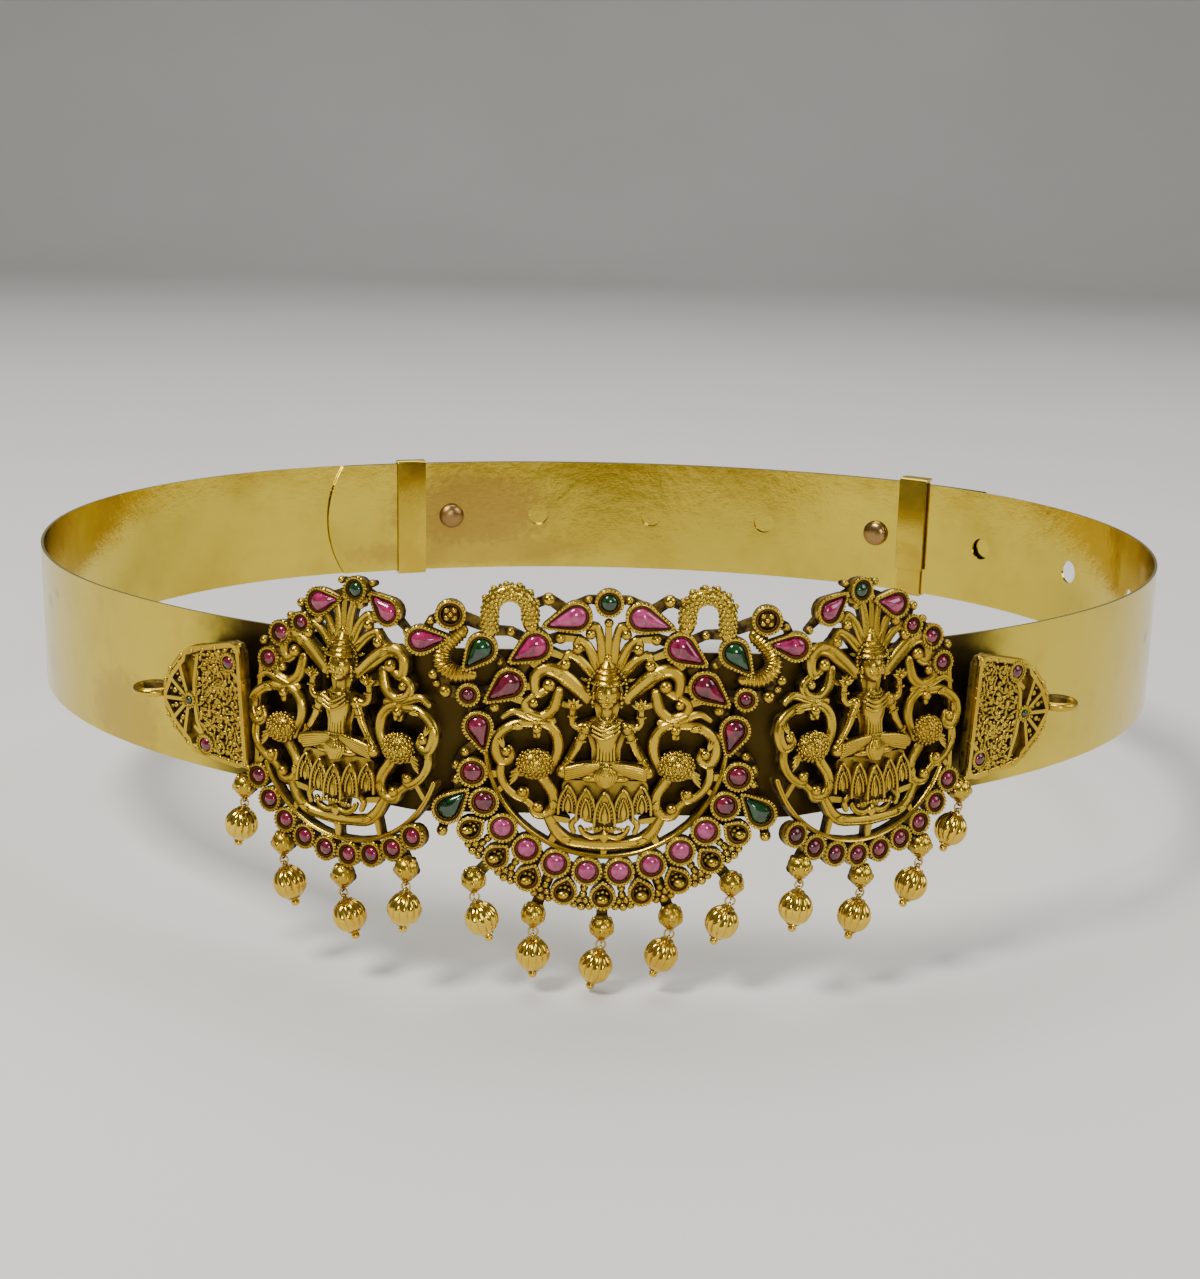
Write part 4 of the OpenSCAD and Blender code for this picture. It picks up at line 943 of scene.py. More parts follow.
class Finishes:
    """Makes the materials and the node groups that they share."""

    def __init__(self) -> None:
        """Makes the shared groups."""
        self.patina, self.skin, self.gem = self.dark_hollows(), self.metal_skin(), self.cloudy()

    def dark_hollows(self) -> bpy.types.NodeTree:
        """Mask of the patina: full where the metal lies low over its back, or in a crevice.

        Returns:
            The group.
        """
        w, i, end = new_group(
            "patina", {"Out": VECTOR, "Back": FLOAT, "Low": FLOAT, "High": FLOAT, "Amount": FLOAT},
            {"Mask": FLOAT})
        place = w.place()
        reach = w.add("VectorMath", {0: place, 1: i["Out"]}, operation="DOT_PRODUCT")
        low = w.span(w.minus(reach.outputs["Value"], i["Back"]), i["Low"], i["High"], 1.0, 0.0)
        crevice = w.add("AmbientOcclusion", {"Distance": 0.002}, samples=4).outputs["AO"]
        both = w.math("MAXIMUM", low, w.span(crevice, 0.3, 0.88, 1.0, 0.0))
        spots = w.span(w.noise(place, 700.0, 4.0), 0.3, 0.75, 0.75, 1.15)
        w.feed(end, {"Mask": w.times(w.times(both, spots), i["Amount"], True)})
        return w.tree

    def metal_skin(self) -> bpy.types.NodeTree:
        """Fine grain in the normal, and cloudy wear in roughness and tint.

        Returns:
            The group.
        """
        w, i, end = new_group(
            "metal_skin", {"Grain": FLOAT, "Relief": FLOAT, "Polish": FLOAT, "Worn": FLOAT},
            {"Normal": VECTOR, "Roughness": FLOAT, "Tint": FLOAT})
        place = w.place()
        wide = w.noise(place, 60.0, 5.0, Roughness=0.6)
        rough = w.plus(i["Polish"], w.times(w.span(wide, 0.35, 0.7), i["Worn"]))
        normal = w.bump(w.noise(place, i["Grain"], 3.0), i["Relief"], 0.0002)
        w.feed(end, {"Normal": normal, "Roughness": rough, "Tint": w.span(wide, 0.3, 0.7)})
        return w.tree

    def cloudy(self) -> bpy.types.NodeTree:
        """Cloudy depth and flecks of a glass cabochon.

        Returns:
            The group.
        """
        w, i, end = new_group("cabochon", {"Deep": COLOR, "Glow": COLOR}, {"Color": COLOR})
        place = w.place()
        cloud = w.span(w.noise(place, 420.0, 5.0, Distortion=1.2), 0.32, 0.7, 0.0, 0.85)
        fleck = w.add("TexVoronoi", {"Vector": place, "Scale": 1300.0}).outputs["Distance"]
        amount = w.plus(cloud, w.span(fleck, 0.0, 0.35, 0.15, 0.0), True)
        w.feed(end, {"Color": w.mix(amount, i["Deep"], i["Glow"])})
        return w.tree

    def metal(self, name: str, finish: MetalFinish, casting: Array | None = None,
              low: float = 1.15, high: float = 2.2, amount: float = 1.0) -> bpy.types.Material:
        """A cast or turned metal with patina in its hollows.

        Args:
            name: its name.
            finish: its colours.
            casting: the casting's frame, or None where there is no back.
            low: height over the back, in millimetres, that is fully dark.
            high: height over the back that is clean.
            amount: strength of the patina.

        Returns:
            The material.
        """
        material, w, shader = new_material(name)
        out, back = (0.0, 0.0, 0.0), -1.0
        if casting is not None:
            out = tuple(float(v) for v in casting[:3, 2])
            back = float(casting[:3, 2] @ casting[:3, 3]) * MM
        mask = w.group(self.patina, {"Out": out, "Back": back, "Low": low * MM, "High": high * MM,
                                     "Amount": amount})["Mask"]
        skin = w.group(self.skin, {"Grain": 1000.0 / finish.grain, "Relief": finish.relief,
                                   "Polish": finish.polish, "Worn": finish.worn})
        warm = tuple(c * k for c, k in zip(finish.bright, (0.84, 0.76, 0.62)))
        bright = w.mix(skin["Tint"], (*finish.bright, 1), (*warm, 1))
        w.feed(shader, {
            "Base Color": w.mix(mask, bright, (*finish.dark, 1)),
            "Roughness": w.plus(skin["Roughness"], w.times(mask, finish.dull - finish.polish)),
            "Normal": skin["Normal"], "Metallic": w.minus(1.0, w.times(mask, 0.35))})
        return material

    def stone(self, name: str, finish: GemFinish) -> bpy.types.Material:
        """A polished glass cabochon.

        Args:
            name: its name.
            finish: its colours.

        Returns:
            The material.
        """
        material, w, shader = new_material(name)
        gem = w.group(self.gem, {"Deep": (*finish.deep, 1), "Glow": (*finish.glow, 1)})
        w.feed(shader, {"Base Color": gem["Color"], "Roughness": finish.polish, "IOR": 1.56,
                        "Coat Weight": 0.7, "Coat Roughness": 0.04, "Subsurface Weight": 0.25,
                        "Subsurface Scale": 0.001})
        return material


class Work:
    """What every sub-assembly needs: sizes, frames, the strap's line and materials."""

    def __init__(self) -> None:
        """Makes the sizes, frames and shared finishes."""
        self.strap, self.casting = Strap(), Casting()
        self.frames = Frames(self.strap, self.casting)
        self.line = MiddleLine(self.strap)
        self.finishes = f = Finishes()
        antique, words = MetalFinish(), ((-1, "left"), (1, "right"))
        self.centre_gold = f.metal("gold_centre", antique, self.frames.centre())
        self.side_gold = {s: f.metal(f"gold_side_{word}", antique, self.frames.side(s))
                          for s, word in words}
        self.wing_gold = {s: f.metal(f"gold_wing_{word}", MetalFinish(polish=0.24),
                                     self.frames.wing(s), 0.9, 1.9, 0.9) for s, word in words}
        bright = MetalFinish(bright=(0.80, 0.56, 0.07), polish=0.1, worn=0.08, relief=0.015)
        self.bead_gold = f.metal("gold_bead", bright, amount=0.55)
        # Dark material of the bezel ledges and the clovers' middles: painted shade of the gaps
        # round the stones and between the lobes.
        self.painted_shade = f.metal("painted_shade_dark", MetalFinish(bright=(0.10, 0.045, 0.012), polish=0.5),
                             amount=0.8)
        self.wire = f.metal("wire", MetalFinish(bright=(0.72, 0.5, 0.14), polish=0.25), amount=0.4)
        self.pink = f.stone("pink_ruby", GemFinish((0.27, 0.015, 0.09), (0.50, 0.07, 0.21), 0.16))
        self.ruby = f.stone("ruby", GemFinish((0.13, 0.002, 0.025), (0.46, 0.02, 0.13)))
        self.plum = f.stone("plum", GemFinish((0.05, 0.001, 0.006), (0.26, 0.006, 0.04)))
        self.emerald = f.stone("emerald", GemFinish((0.001, 0.014, 0.002), (0.004, 0.075, 0.008)))


@dataclass(frozen=True)
class Relief:
    """The raised design of a panel: scrolls, seated figure, peacocks and lotus seat.

    The surface stands in the design's frame. What is drawn at x is drawn at side times x.
    """

    s: Surface
    z: float
    top: float
    side: int = 1

    def scroll(self, rows: list[list[float]], widen: float = 0.08, **look: float) -> None:
        """Adds one scroll: a ribbon along a smooth path.

        Args:
            rows: x, y and half width of its points.
            widen: added to every half width.
            look: settings of Surface.tube.
        """
        p = smooth_path(np.array(rows, float) * [self.side, 1, 1], 0.5)
        p[:, 2] += widen
        self.s.tube(p, **{"base": self.z - 0.3, "rise": 0.85, "drop": 0.8, "groove": 0.32, **look})

    def leaf(self, x: float, y: float, heading: float, length: float, w: float, up: float) -> None:
        """Adds a small pointed leaf with a vein, its width a sine along it.

        Args:
            x, y: its root.
            heading: where its tip points, in degrees.
            length: its length.
            w: its half width.
            up: its height over the scrolls' height.
        """
        t = np.linspace(0.02, 0.98, 8)
        h = math.radians(heading if self.side > 0 else 180 - heading)
        p = columns(self.side * x + math.cos(h) * length * t, y + math.sin(h) * length * t,
                    w * np.sin(np.pi * t ** 0.75) + 0.04)
        self.s.tube(p, self.z + up, 0.5, 0.5, 10, groove=0.3)

    def forms(self, rows: list[tuple[Triple, Triple]], n: int) -> None:
        """Adds rounded forms: middles over the scrolls' height, and half axes; n sides each."""
        self.s.balls([[self.side * x, y, self.z + up] for (x, y, up), _ in rows],
                     [r for _, r in rows], n)

    def beads(self, x: Array | float, y: Array | float, up: Array | float, r: float,
              n: int = 6) -> None:
        """Adds small balls of radius r at x, y and a height over the scrolls' height."""
        self.s.balls(columns(self.side * x, y, self.z + up), r, n)

    def figure(self) -> None:
        """Adds the seated figure's head, crown, ornaments and folds; the face is calm and plain."""
        self.forms([((0, 8.45, 0.05), (2.3, 2.75, 2.35))], 28)
        self.forms([((0, 7.0, 0.75), (1.45, 1.35, 1.45))], 16)
        face = [((0, 8.15, 2.35), (0.26, 0.62, 0.42)), ((0, 7.85, 2.5), (0.36, 0.26, 0.3)),
                ((0, 7.05, 2.22), (0.5, 0.14, 0.16)), ((0, 6.78, 2.12), (0.38, 0.13, 0.15)),
                ((0, 6.2, 1.75), (0.5, 0.35, 0.35)), ((0, 9.75, 2.15), (0.16, 0.16, 0.12))]
        for x in (-1, 1):
            face += [((x * 0.85, 8.85, 2.02), (0.5, 0.2, 0.2)),
                     ((x * 0.85, 9.3, 1.98), (0.62, 0.12, 0.16)),
                     ((x * 1.05, 7.7, 1.85), (0.62, 0.6, 0.4)),
                     ((x * 2.35, 8.0, 0.5), (0.35, 0.8, 0.4)),
                     ((x * 2.5, 6.9, 0.6), (0.42, 0.42, 0.42)),
                     ((x * 2.5, 6.2, 0.5), (0.28, 0.36, 0.28))]
        self.forms(face, 10)
        with self.s.inside(moved(0, 0, self.z - 0.1) @ turned("X", -90)):
            self.s.lathe(CROWN, 28, 14, 0.07, 0.95)
            self.s.lathe(BODY, 24, 0, 0, 0.9)
        a = np.radians(np.linspace(-80, 80, 13))
        self.beads(2.75 * np.sin(a), 10.45, 2.5 * np.cos(a), 0.24)
        a = np.radians(np.arange(-64, 245, 11.0))
        a = a[9.6 + 3.5 * np.sin(a) > 7.2]
        self.beads(3.35 * np.cos(a), 9.6 + 3.5 * np.sin(a), 0.35, 0.3)
        for k, y in enumerate((2.4, 1.6, 0.8)):
            self.scroll([[-2.4, y + 0.7, 0.2], [-0.6, y - 0.1, 0.24], [1.2, y + 0.6, 0.22],
                         [2.2, y + 1.4, 0.18]], base=self.z + 2.15 - 0.05 * k, rise=1.0, drop=0.5,
                        groove=0.0)
        a = np.radians(np.linspace(-75, 75, 11))
        for y, r in ((4.6, 1.35), (3.9, 1.75), (3.1, 2.25)):
            self.beads(r * np.sin(a), y - 0.7 * np.cos(a), 0.6 + 1.35 * np.cos(a), 0.2)
        for x in (-1.5, -0.9, -0.3, 0.3, 0.9, 1.5):
            self.scroll([[x * 0.95, -0.2, 0.2], [x * 0.9, -2.0, 0.2], [x, -3.9, 0.22]],
                        base=self.z + 1.35 - 0.12 * x * x, rise=1.0, drop=0.5, groove=0.0)
        x = np.linspace(-2.1, 2.1, 11)
        for y in (-3.6, -4.3):
            self.beads(x, y, 1.75 - 0.13 * x * x, 0.22)

    def limbs(self) -> None:
        """Adds the arms, bangles, hand ornaments, folded leg and drapery of one side."""
        self.forms([((3.5, 2.35, 0.15), (1.2, 1.15, 1.25)), ((7.3, -5.9, -0.1), (1.4, 1.35, 1.4))],
                   14)
        self.scroll([[3.4, 2.4, 0.95], [4.3, 0.6, 0.8], [4.9, -1.1, 0.72], [5.9, -2.9, 0.62],
                     [6.9, -4.5, 0.6]], base=self.z + 0.2, rise=1.1, drop=1.2, groove=0.0)
        self.scroll([[3.3, 2.7, 0.85], [5.0, 2.3, 0.7], [5.9, 3.0, 0.6], [6.0, 4.6, 0.55],
                     [5.9, 6.0, 0.6]], base=self.z, rise=1.1, drop=1.0, groove=0.0)
        k = np.linspace(-1, 1, 6)
        for x, y, h, r in ((4.0, 1.3, -64, 0.95), (4.5, 0.1, -70, 0.9), (6.3, -3.6, -60, 0.78),
                           (6.0, 4.3, 92, 0.72)):
            t = math.radians(h + 90)
            self.beads(x + r * k * math.cos(t), y + r * k * math.sin(t),
                       0.35 + r * np.sqrt(1.05 - k * k), 0.2)
        for h in (30, 62, 94, 126, 158):
            self.leaf(5.9, 5.9, h, 1.75, 0.42, 0.75)
        self.beads(5.9, 6.2, 1.1, 0.5, 10)
        for k in range(4):
            self.leaf(6.9 + 0.1 * k, -4.6, -50 - 22 * k, 1.5, 0.24, 1.2)
        for k in range(6):
            y = -3.9 - 0.28 * k
            self.scroll([[1.2, y, 0.24], [4.0, y - 0.35 - 0.1 * k, 0.36],
                         [6.9, -4.9 - 0.42 * k, 0.26]], base=self.z + 1.5 - 0.03 * k * k,
                        rise=0.9, drop=2.2, groove=0.0)
        self.forms([((2.4, -6.9, 0.6), (1.9, 0.75, 0.9))], 14)

    def peacock(self) -> None:
        """Adds a bird: a body with scales on a golden spiral, a crest, a neck and a head."""
        x, y, up, rx, ry, rz = 12.4, -4.6, -0.45, 3.15, 2.65, 2.35
        self.forms([((x, y, up), (rx, ry, rz))], 26)
        n = 84
        k = np.arange(n) + 0.5
        rise, a = 1 - k / n * 0.95, k * 2.399963
        flat = np.sqrt(1 - rise * rise)
        self.s.balls(columns(self.side * x + rx * flat * np.cos(a), y + ry * flat * np.sin(a),
                             self.z + up + rz * rise), [[0.36, 0.36, 0.3]] * n)
        a = np.radians(np.linspace(35, 150, 9))
        self.beads(x - 0.3 + 2.5 * np.cos(a), y + 2.45 * np.sin(a), 0.55, 0.42, 8)
        self.forms([((12.1, 1.8, 0.1), (1.0, 0.95, 1.0)), ((11.8, 1.0, 0.3), (0.45, 0.9, 0.4))],
                   12)
        for h in (60, 90, 120):
            self.leaf(12.2, 2.5, h, 1.2, 0.22, 0.3)
        for k in range(4):
            self.leaf(14.2 + 0.35 * k, -5.4 - 0.35 * k, -18 - 12 * k, 2.6, 0.36, 0.1)

    def petal(self, x: float, y: float, w: float, h: float, lift: float) -> None:
        """Adds a petal of the seat: two pointed arches, ribs between them and a leaf inside.

        Args:
            x, y: its middle.
            w: its half width.
            h: its half height.
            lift: its height over the scrolls' height.
        """
        t = np.linspace(-1, 1, 15)
        bow = columns(self.side * x + w * np.sign(t) * (1 - np.abs(1 - np.abs(t)) ** 2.2),
                      y - h + 2 * h * (1 - np.abs(t)) ** 0.8, 0.26)
        middle = np.array([self.side * x, y - 0.45 * h, 0.0])
        within = middle + (bow - middle) * [0.5, 0.56, 0.8]
        z = self.z + lift
        self.s.tube(bow, z + 0.2, 1.0, 1.6, 8)
        self.s.tube(within, z + 0.15, 1.0, 1.6, 8)
        for k in (1, 2, 3, 4, 5, 9, 10, 11, 12, 13):
            rib = np.array([bow[k] * 0.85 + within[k] * 0.15,
                            bow[k] * 0.15 + within[k] * 0.85 - [0, 0.15, 0]])
            rib[:, 2] = 0.13
            self.s.tube(rib, z + 0.05, 1.0, 1.0, 6)
        self.leaf(x, y - 0.95 * h, 90, 1.05 * h, 0.3 * w, lift + 0.05)

    def seat(self) -> None:
        """Adds the middle of the lotus seat: its cushion, middle petal, row of beads and tip."""
        self.forms([((0, -6.35, 0.3), (2.15, 2.1, 2.05))], 24)
        for k in range(-4, 5):
            self.scroll([[0.2 * k, -4.7, 0.15], [0.45 * k, -6.2, 0.3], [0.25 * k, -8.0, 0.18]],
                        base=self.z + 2.0 - 0.045 * k * k, rise=0.9, drop=0.5, groove=0.0)
        self.petal(0, -12.2, 1.8, 3.05, 1.4)
        x = np.linspace(-3.3, 3.3, 11)
        self.beads(x, -15.9 - 0.035 * x * x, 0.9, 0.42, 8)
        self.leaf(0, -16.6, -90, 2.6, 0.9, 0.3)

    def half(self) -> None:
        """Adds what stands once on each side."""
        for rows in SCROLLS:
            self.scroll(rows, widen=0.22, rise=0.72, groove=0.3)
        x, y, r = np.array([b for b in SCROLL_BALLS if b[1] < self.top]).T
        self.beads(x, y, -0.15, r + 0.06, 14)
        self.peacock()
        for x, y, h, n in ((9.6, 12.2, 200, 4), (14.6, 2.0, 20, 3), (17.9, -1.6, 80, 3),
                           (9.4, -11.2, 250, 4), (7.6, -18.3, 200, 3)):
            for k in range(n):
                self.leaf(x, y, h + 16 * (k - n / 2), 1.9, 0.24, 0.45)
        for a in range(18, 163, 24):
            t = math.radians(a)
            self.leaf(3.7 * math.cos(t) * 0.95, 9.6 + 3.7 * math.sin(t) * 0.95, a, 1.5, 0.3, 0.2)
        self.limbs()
        self.petal(6.5, -10.8, 1.65, 2.6, 0.6)
        self.petal(3.3, -11.6, 1.7, 2.95, 1.0)
        for rows in SEAT_FOOT:
            self.scroll(rows, base=self.z + 0.1)


def add_design(s: Surface, axis: Point, z: float, top: float) -> None:
    """Adds the whole raised design of a panel.

    Args:
        s: the panel's surface.
        axis: the design's middle in the panel's frame.
        z: height of the scrolls.
        top: curls above this height are left out.
    """
    with s.inside(moved(*axis, 0)):
        for side in (-1, 1):
            Relief(s, z, top, side).half()
        middle = Relief(s, z, top)
        middle.beads(0, 20.9, -0.4, 0.85, 12)
        middle.figure()
        middle.seat()


@dataclass(frozen=True)
class Settings:
    """Bezels, milgrain and cabochons of a casting; base is the plate under the stones."""

    casting: Casting
    frame: Array
    wall: float
    base: float

    def bezel(self, s: Surface, at: Setting) -> None:
        """Adds a bezel: a dark ledge round the stone, painted shade of the gap between stone and
        bezel, a rounded lip and a row of grains.

        Args:
            s: the casting's surface.
            at: the stone's place.
        """
        n, h = 40 if at.length else 32, self.casting.bezel
        inner, outer = at.outline(self.wall, n), at.outline(-0.06, n)
        ledge = [(0.0, -0.4), (0.0, 0.03), (0.45, 0.05), (0.45, -0.4)]
        lip = [(0.36, -0.3), (0.36, 0.16), (0.46, 0.32), (0.6, 0.33), (0.74, 0.2), (1.0, 0.02),
               (1.0, -1.2), (0.6, -1.25)]
        # Mark 1 gives the ledge the dark material: painted shade of the gap round the stone.
        for s.mark, rows in ((1, ledge), (0, lip)):
            loops = [columns(*(inner * (1 - t) + outer * t).T, h + z) for t, z in rows]
            s.rings(np.array(loops), looped=True)
        edge = at.outline(self.wall * 0.16, 160)
        count = int(lengths(np.concatenate([edge, edge[:1]]))[-1] / 0.62)
        pick = edge[(np.arange(count) * 160 / count).astype(int)]
        s.balls(columns(*pick.T, h + 0.2), 0.31, 6)

    def cabochon(self, s: Surface, at: Setting) -> None:
        """Adds a domed stone: its edge shrinks by a cosine as its height grows by a sine.

        Args:
            s: the stones' surface.
            at: the stone's place.
        """
        c, edge = self.casting, at.outline(self.wall + self.casting.gap, 36)
        mid = edge.mean(axis=0)
        if at.length:
            mid = np.array([at.x, at.y]) * 0.6 + mid * 0.4
        low, top = c.bezel - 0.35, c.stone - (0.05 if at.length else 0.3)
        t = np.linspace(0, 0.96, 9)[:, None, None] * np.pi / 2
        dome = np.concatenate([mid + (edge - mid) * np.cos(t), low + (top - low) * np.sin(t)
                               + np.zeros((9, 36, 1))], -1)
        foot = columns(*edge.T, self.base + c.gap)
        s.mark = at.mark
        s.rings(np.concatenate([foot[None], dome]))

    def stones(self, name: str, slot: Slot, node: str, places: list[Setting],
               *materials: bpy.types.Material) -> None:
        """Makes one piece of stones.

        Args:
            name: its name.
            slot: its material slot.
            node: the solid node that it replaces.
            places: places of its stones.
            materials: its materials; a place's mark is the number of its own.
        """
        s = Surface(self.frame)
        for at in places:
            self.cabochon(s, at)
        s.piece(name, slot, node, *materials)

    def blank(self, s: Surface, at: Setting) -> None:
        """Adds the chased floor of a setting that holds no stone.

        Args:
            s: the casting's surface.
            at: the setting.
        """
        h = math.radians(at.heading)
        along, middle = np.array([math.cos(h), math.sin(h)]), np.array([at.x, at.y])
        across = np.array([-along[1], along[0]])
        s.balls([[*(middle - 0.75 * along), self.base + 0.5]], [[1.3, 0.95, 1.15]], 18)
        v, k, r = np.array([(-0.8, 0.5, 0.42), (0.0, 0.75, 0.5), (0.8, 0.5, 0.42),
                            (-0.3, 1.6, 0.4), (0.35, 1.5, 0.36), (0.0, 2.3, 0.3)]).T
        p = middle + np.outer(k, along) + np.outer(v, across)
        s.balls(columns(*p.T, self.base + 0.55), r)


@dataclass(frozen=True)
class Drops:
    """Flower caps, their eyes, links and fluted beads; lean is the casting's, in degrees."""

    casting: Casting
    lean: float = 0.0

    def cap(self, s: Surface, at: Point) -> None:
        """Adds a flower cap, a core with a crown, six bumps and a lower collar, and its eye.

        Args:
            s: the casting's surface.
            at: its middle in the casting's frame.
        """
        r = self.casting.cap_r
        a = np.radians(np.arange(6) * 60.0 + 30)
        with s.inside(moved(*at, self.casting.hang) @ turned("X", 90)):
            s.lathe([(0.1, -r - 0.15), (0.7, -r - 0.05), (0.95, -r + 0.25), (1.5, -1.65),
                     (2.05, -1.0), (2.3, -0.2), (2.2, 0.55), (1.75, 1.35), (1.15, 1.9),
                     (1.0, r - 0.05), (0.6, r + 0.12), (0.1, r + 0.15)], 30, 6, 0.12)
            s.balls(columns(1.72 * np.cos(a), 1.72 * np.sin(a), 0.35), [[0.72, 0.72, 0.85]] * 6, 10)
            s.balls(columns(1.3 * np.cos(a + 0.5), 1.3 * np.sin(a + 0.5), -1.35), 0.62)
        with s.inside(self.at_eye(at)):
            self.eye(s)

    def at_eye(self, at: Point) -> Array:
        """Frame of the eye under the cap at a place, in the casting's frame."""
        c = self.casting
        return moved(at[0], at[1] - c.cap_r - c.eye_drop, c.hang) @ turned("X", self.lean)

    def eye(self, s: Surface) -> None:
        """Adds a wire eye at the surface's present frame."""
        with s.inside(turned("Y", 90)):
            s.torus(self.casting.eye_r, self.casting.wire_r)

    def link(self, s: Surface, at: Point, tilt: float) -> None:
        """Adds the link between cap and bead.

        Args:
            s: the links' surface.
            at: middle of the cap.
            tilt: swing of the bead in degrees.
        """
        c = self.casting
        with s.inside(self.at_eye(at) @ turned("Z", tilt / 2) @ moved(0, -c.link_r, 0)):
            s.torus(c.link_r, c.wire_r)

    def bead(self, s: Surface, at: Point, tilt: float) -> None:
        """Adds a fluted bead with its eye, collars and finial.

        Args:
            s: the bead's surface.
            at: middle of the cap.
            tilt: swing of the bead in degrees.
        """
        c = self.casting
        r, t = c.ball_r, np.linspace(0.06, np.pi - 0.06, 22)
        half = turned("Z", tilt / 2)
        with s.inside(self.at_eye(at) @ half @ moved(0, -2 * c.link_r, 0) @ half):
            self.eye(s)
            with s.inside(moved(0, -c.eye_drop - r, 0) @ turned("X", 90)):
                s.lathe(list(zip(r * np.sin(t), -r * np.cos(t))), 96, 12, 0.11)
                s.lathe([(0.3, -r - 0.05), (1.25, -r - 0.02), (1.35, -r + 0.2), (1.2, -r + 0.42)],
                        24, 12, 0.1)
                s.lathe([(1.15, r - 0.45), (1.25, r - 0.1), (0.95, r + 0.15), (0.6, r + 0.3),
                         (0.72, r + 0.45), (0.8, r + 0.75), (0.7, r + 1.1), (0.42, r + 1.35),
                         (0.05, r + 1.44)], 20)

    def hang(self, work: Work, frame_m: Array, word: str, caps: list[Point],
             tilts: tuple[float, ...], numbers: list[int]) -> None:
        """Makes the beads of a panel, a piece each, and its links.

        Args:
            work: sizes, frames and finishes.
            frame_m: the casting's frame.
            word: the panel's name.
            caps: middles of the caps.
            tilts: swing of each bead.
            numbers: number of each bead in its node's name.
        """
        links = Surface(frame_m)
        for at, tilt, number in zip(caps, tilts, numbers):
            bead = Surface(frame_m)
            self.bead(bead, at, tilt)
            bead.piece(f"fluted_bead_{word}_{number}", Slot.BEAD, f"bead_{word}_{number}",
                       work.bead_gold)
            self.link(links, at, tilt)
        links.piece(f"wire_links_{word}", Slot.WIRE, f"links_{word}", work.wire)


def add_rim(s: Surface, c: Point, r: float, angles: Array, side: int = 1) -> None:
    """Adds the grooved rim inside a ring of stones.

    Args:
        s: the panel's surface.
        c: middle of the ring.
        r: its radius.
        angles: degrees from straight down.
        side: 1 right, -1 mirrored for the left.
    """
    rim = np.array([[*on_ring(c, r, a), 0.45] for a in angles]) * [side, 1, 1]
    s.tube(rim, 1.95, 0.9, 0.8, groove=0.45)


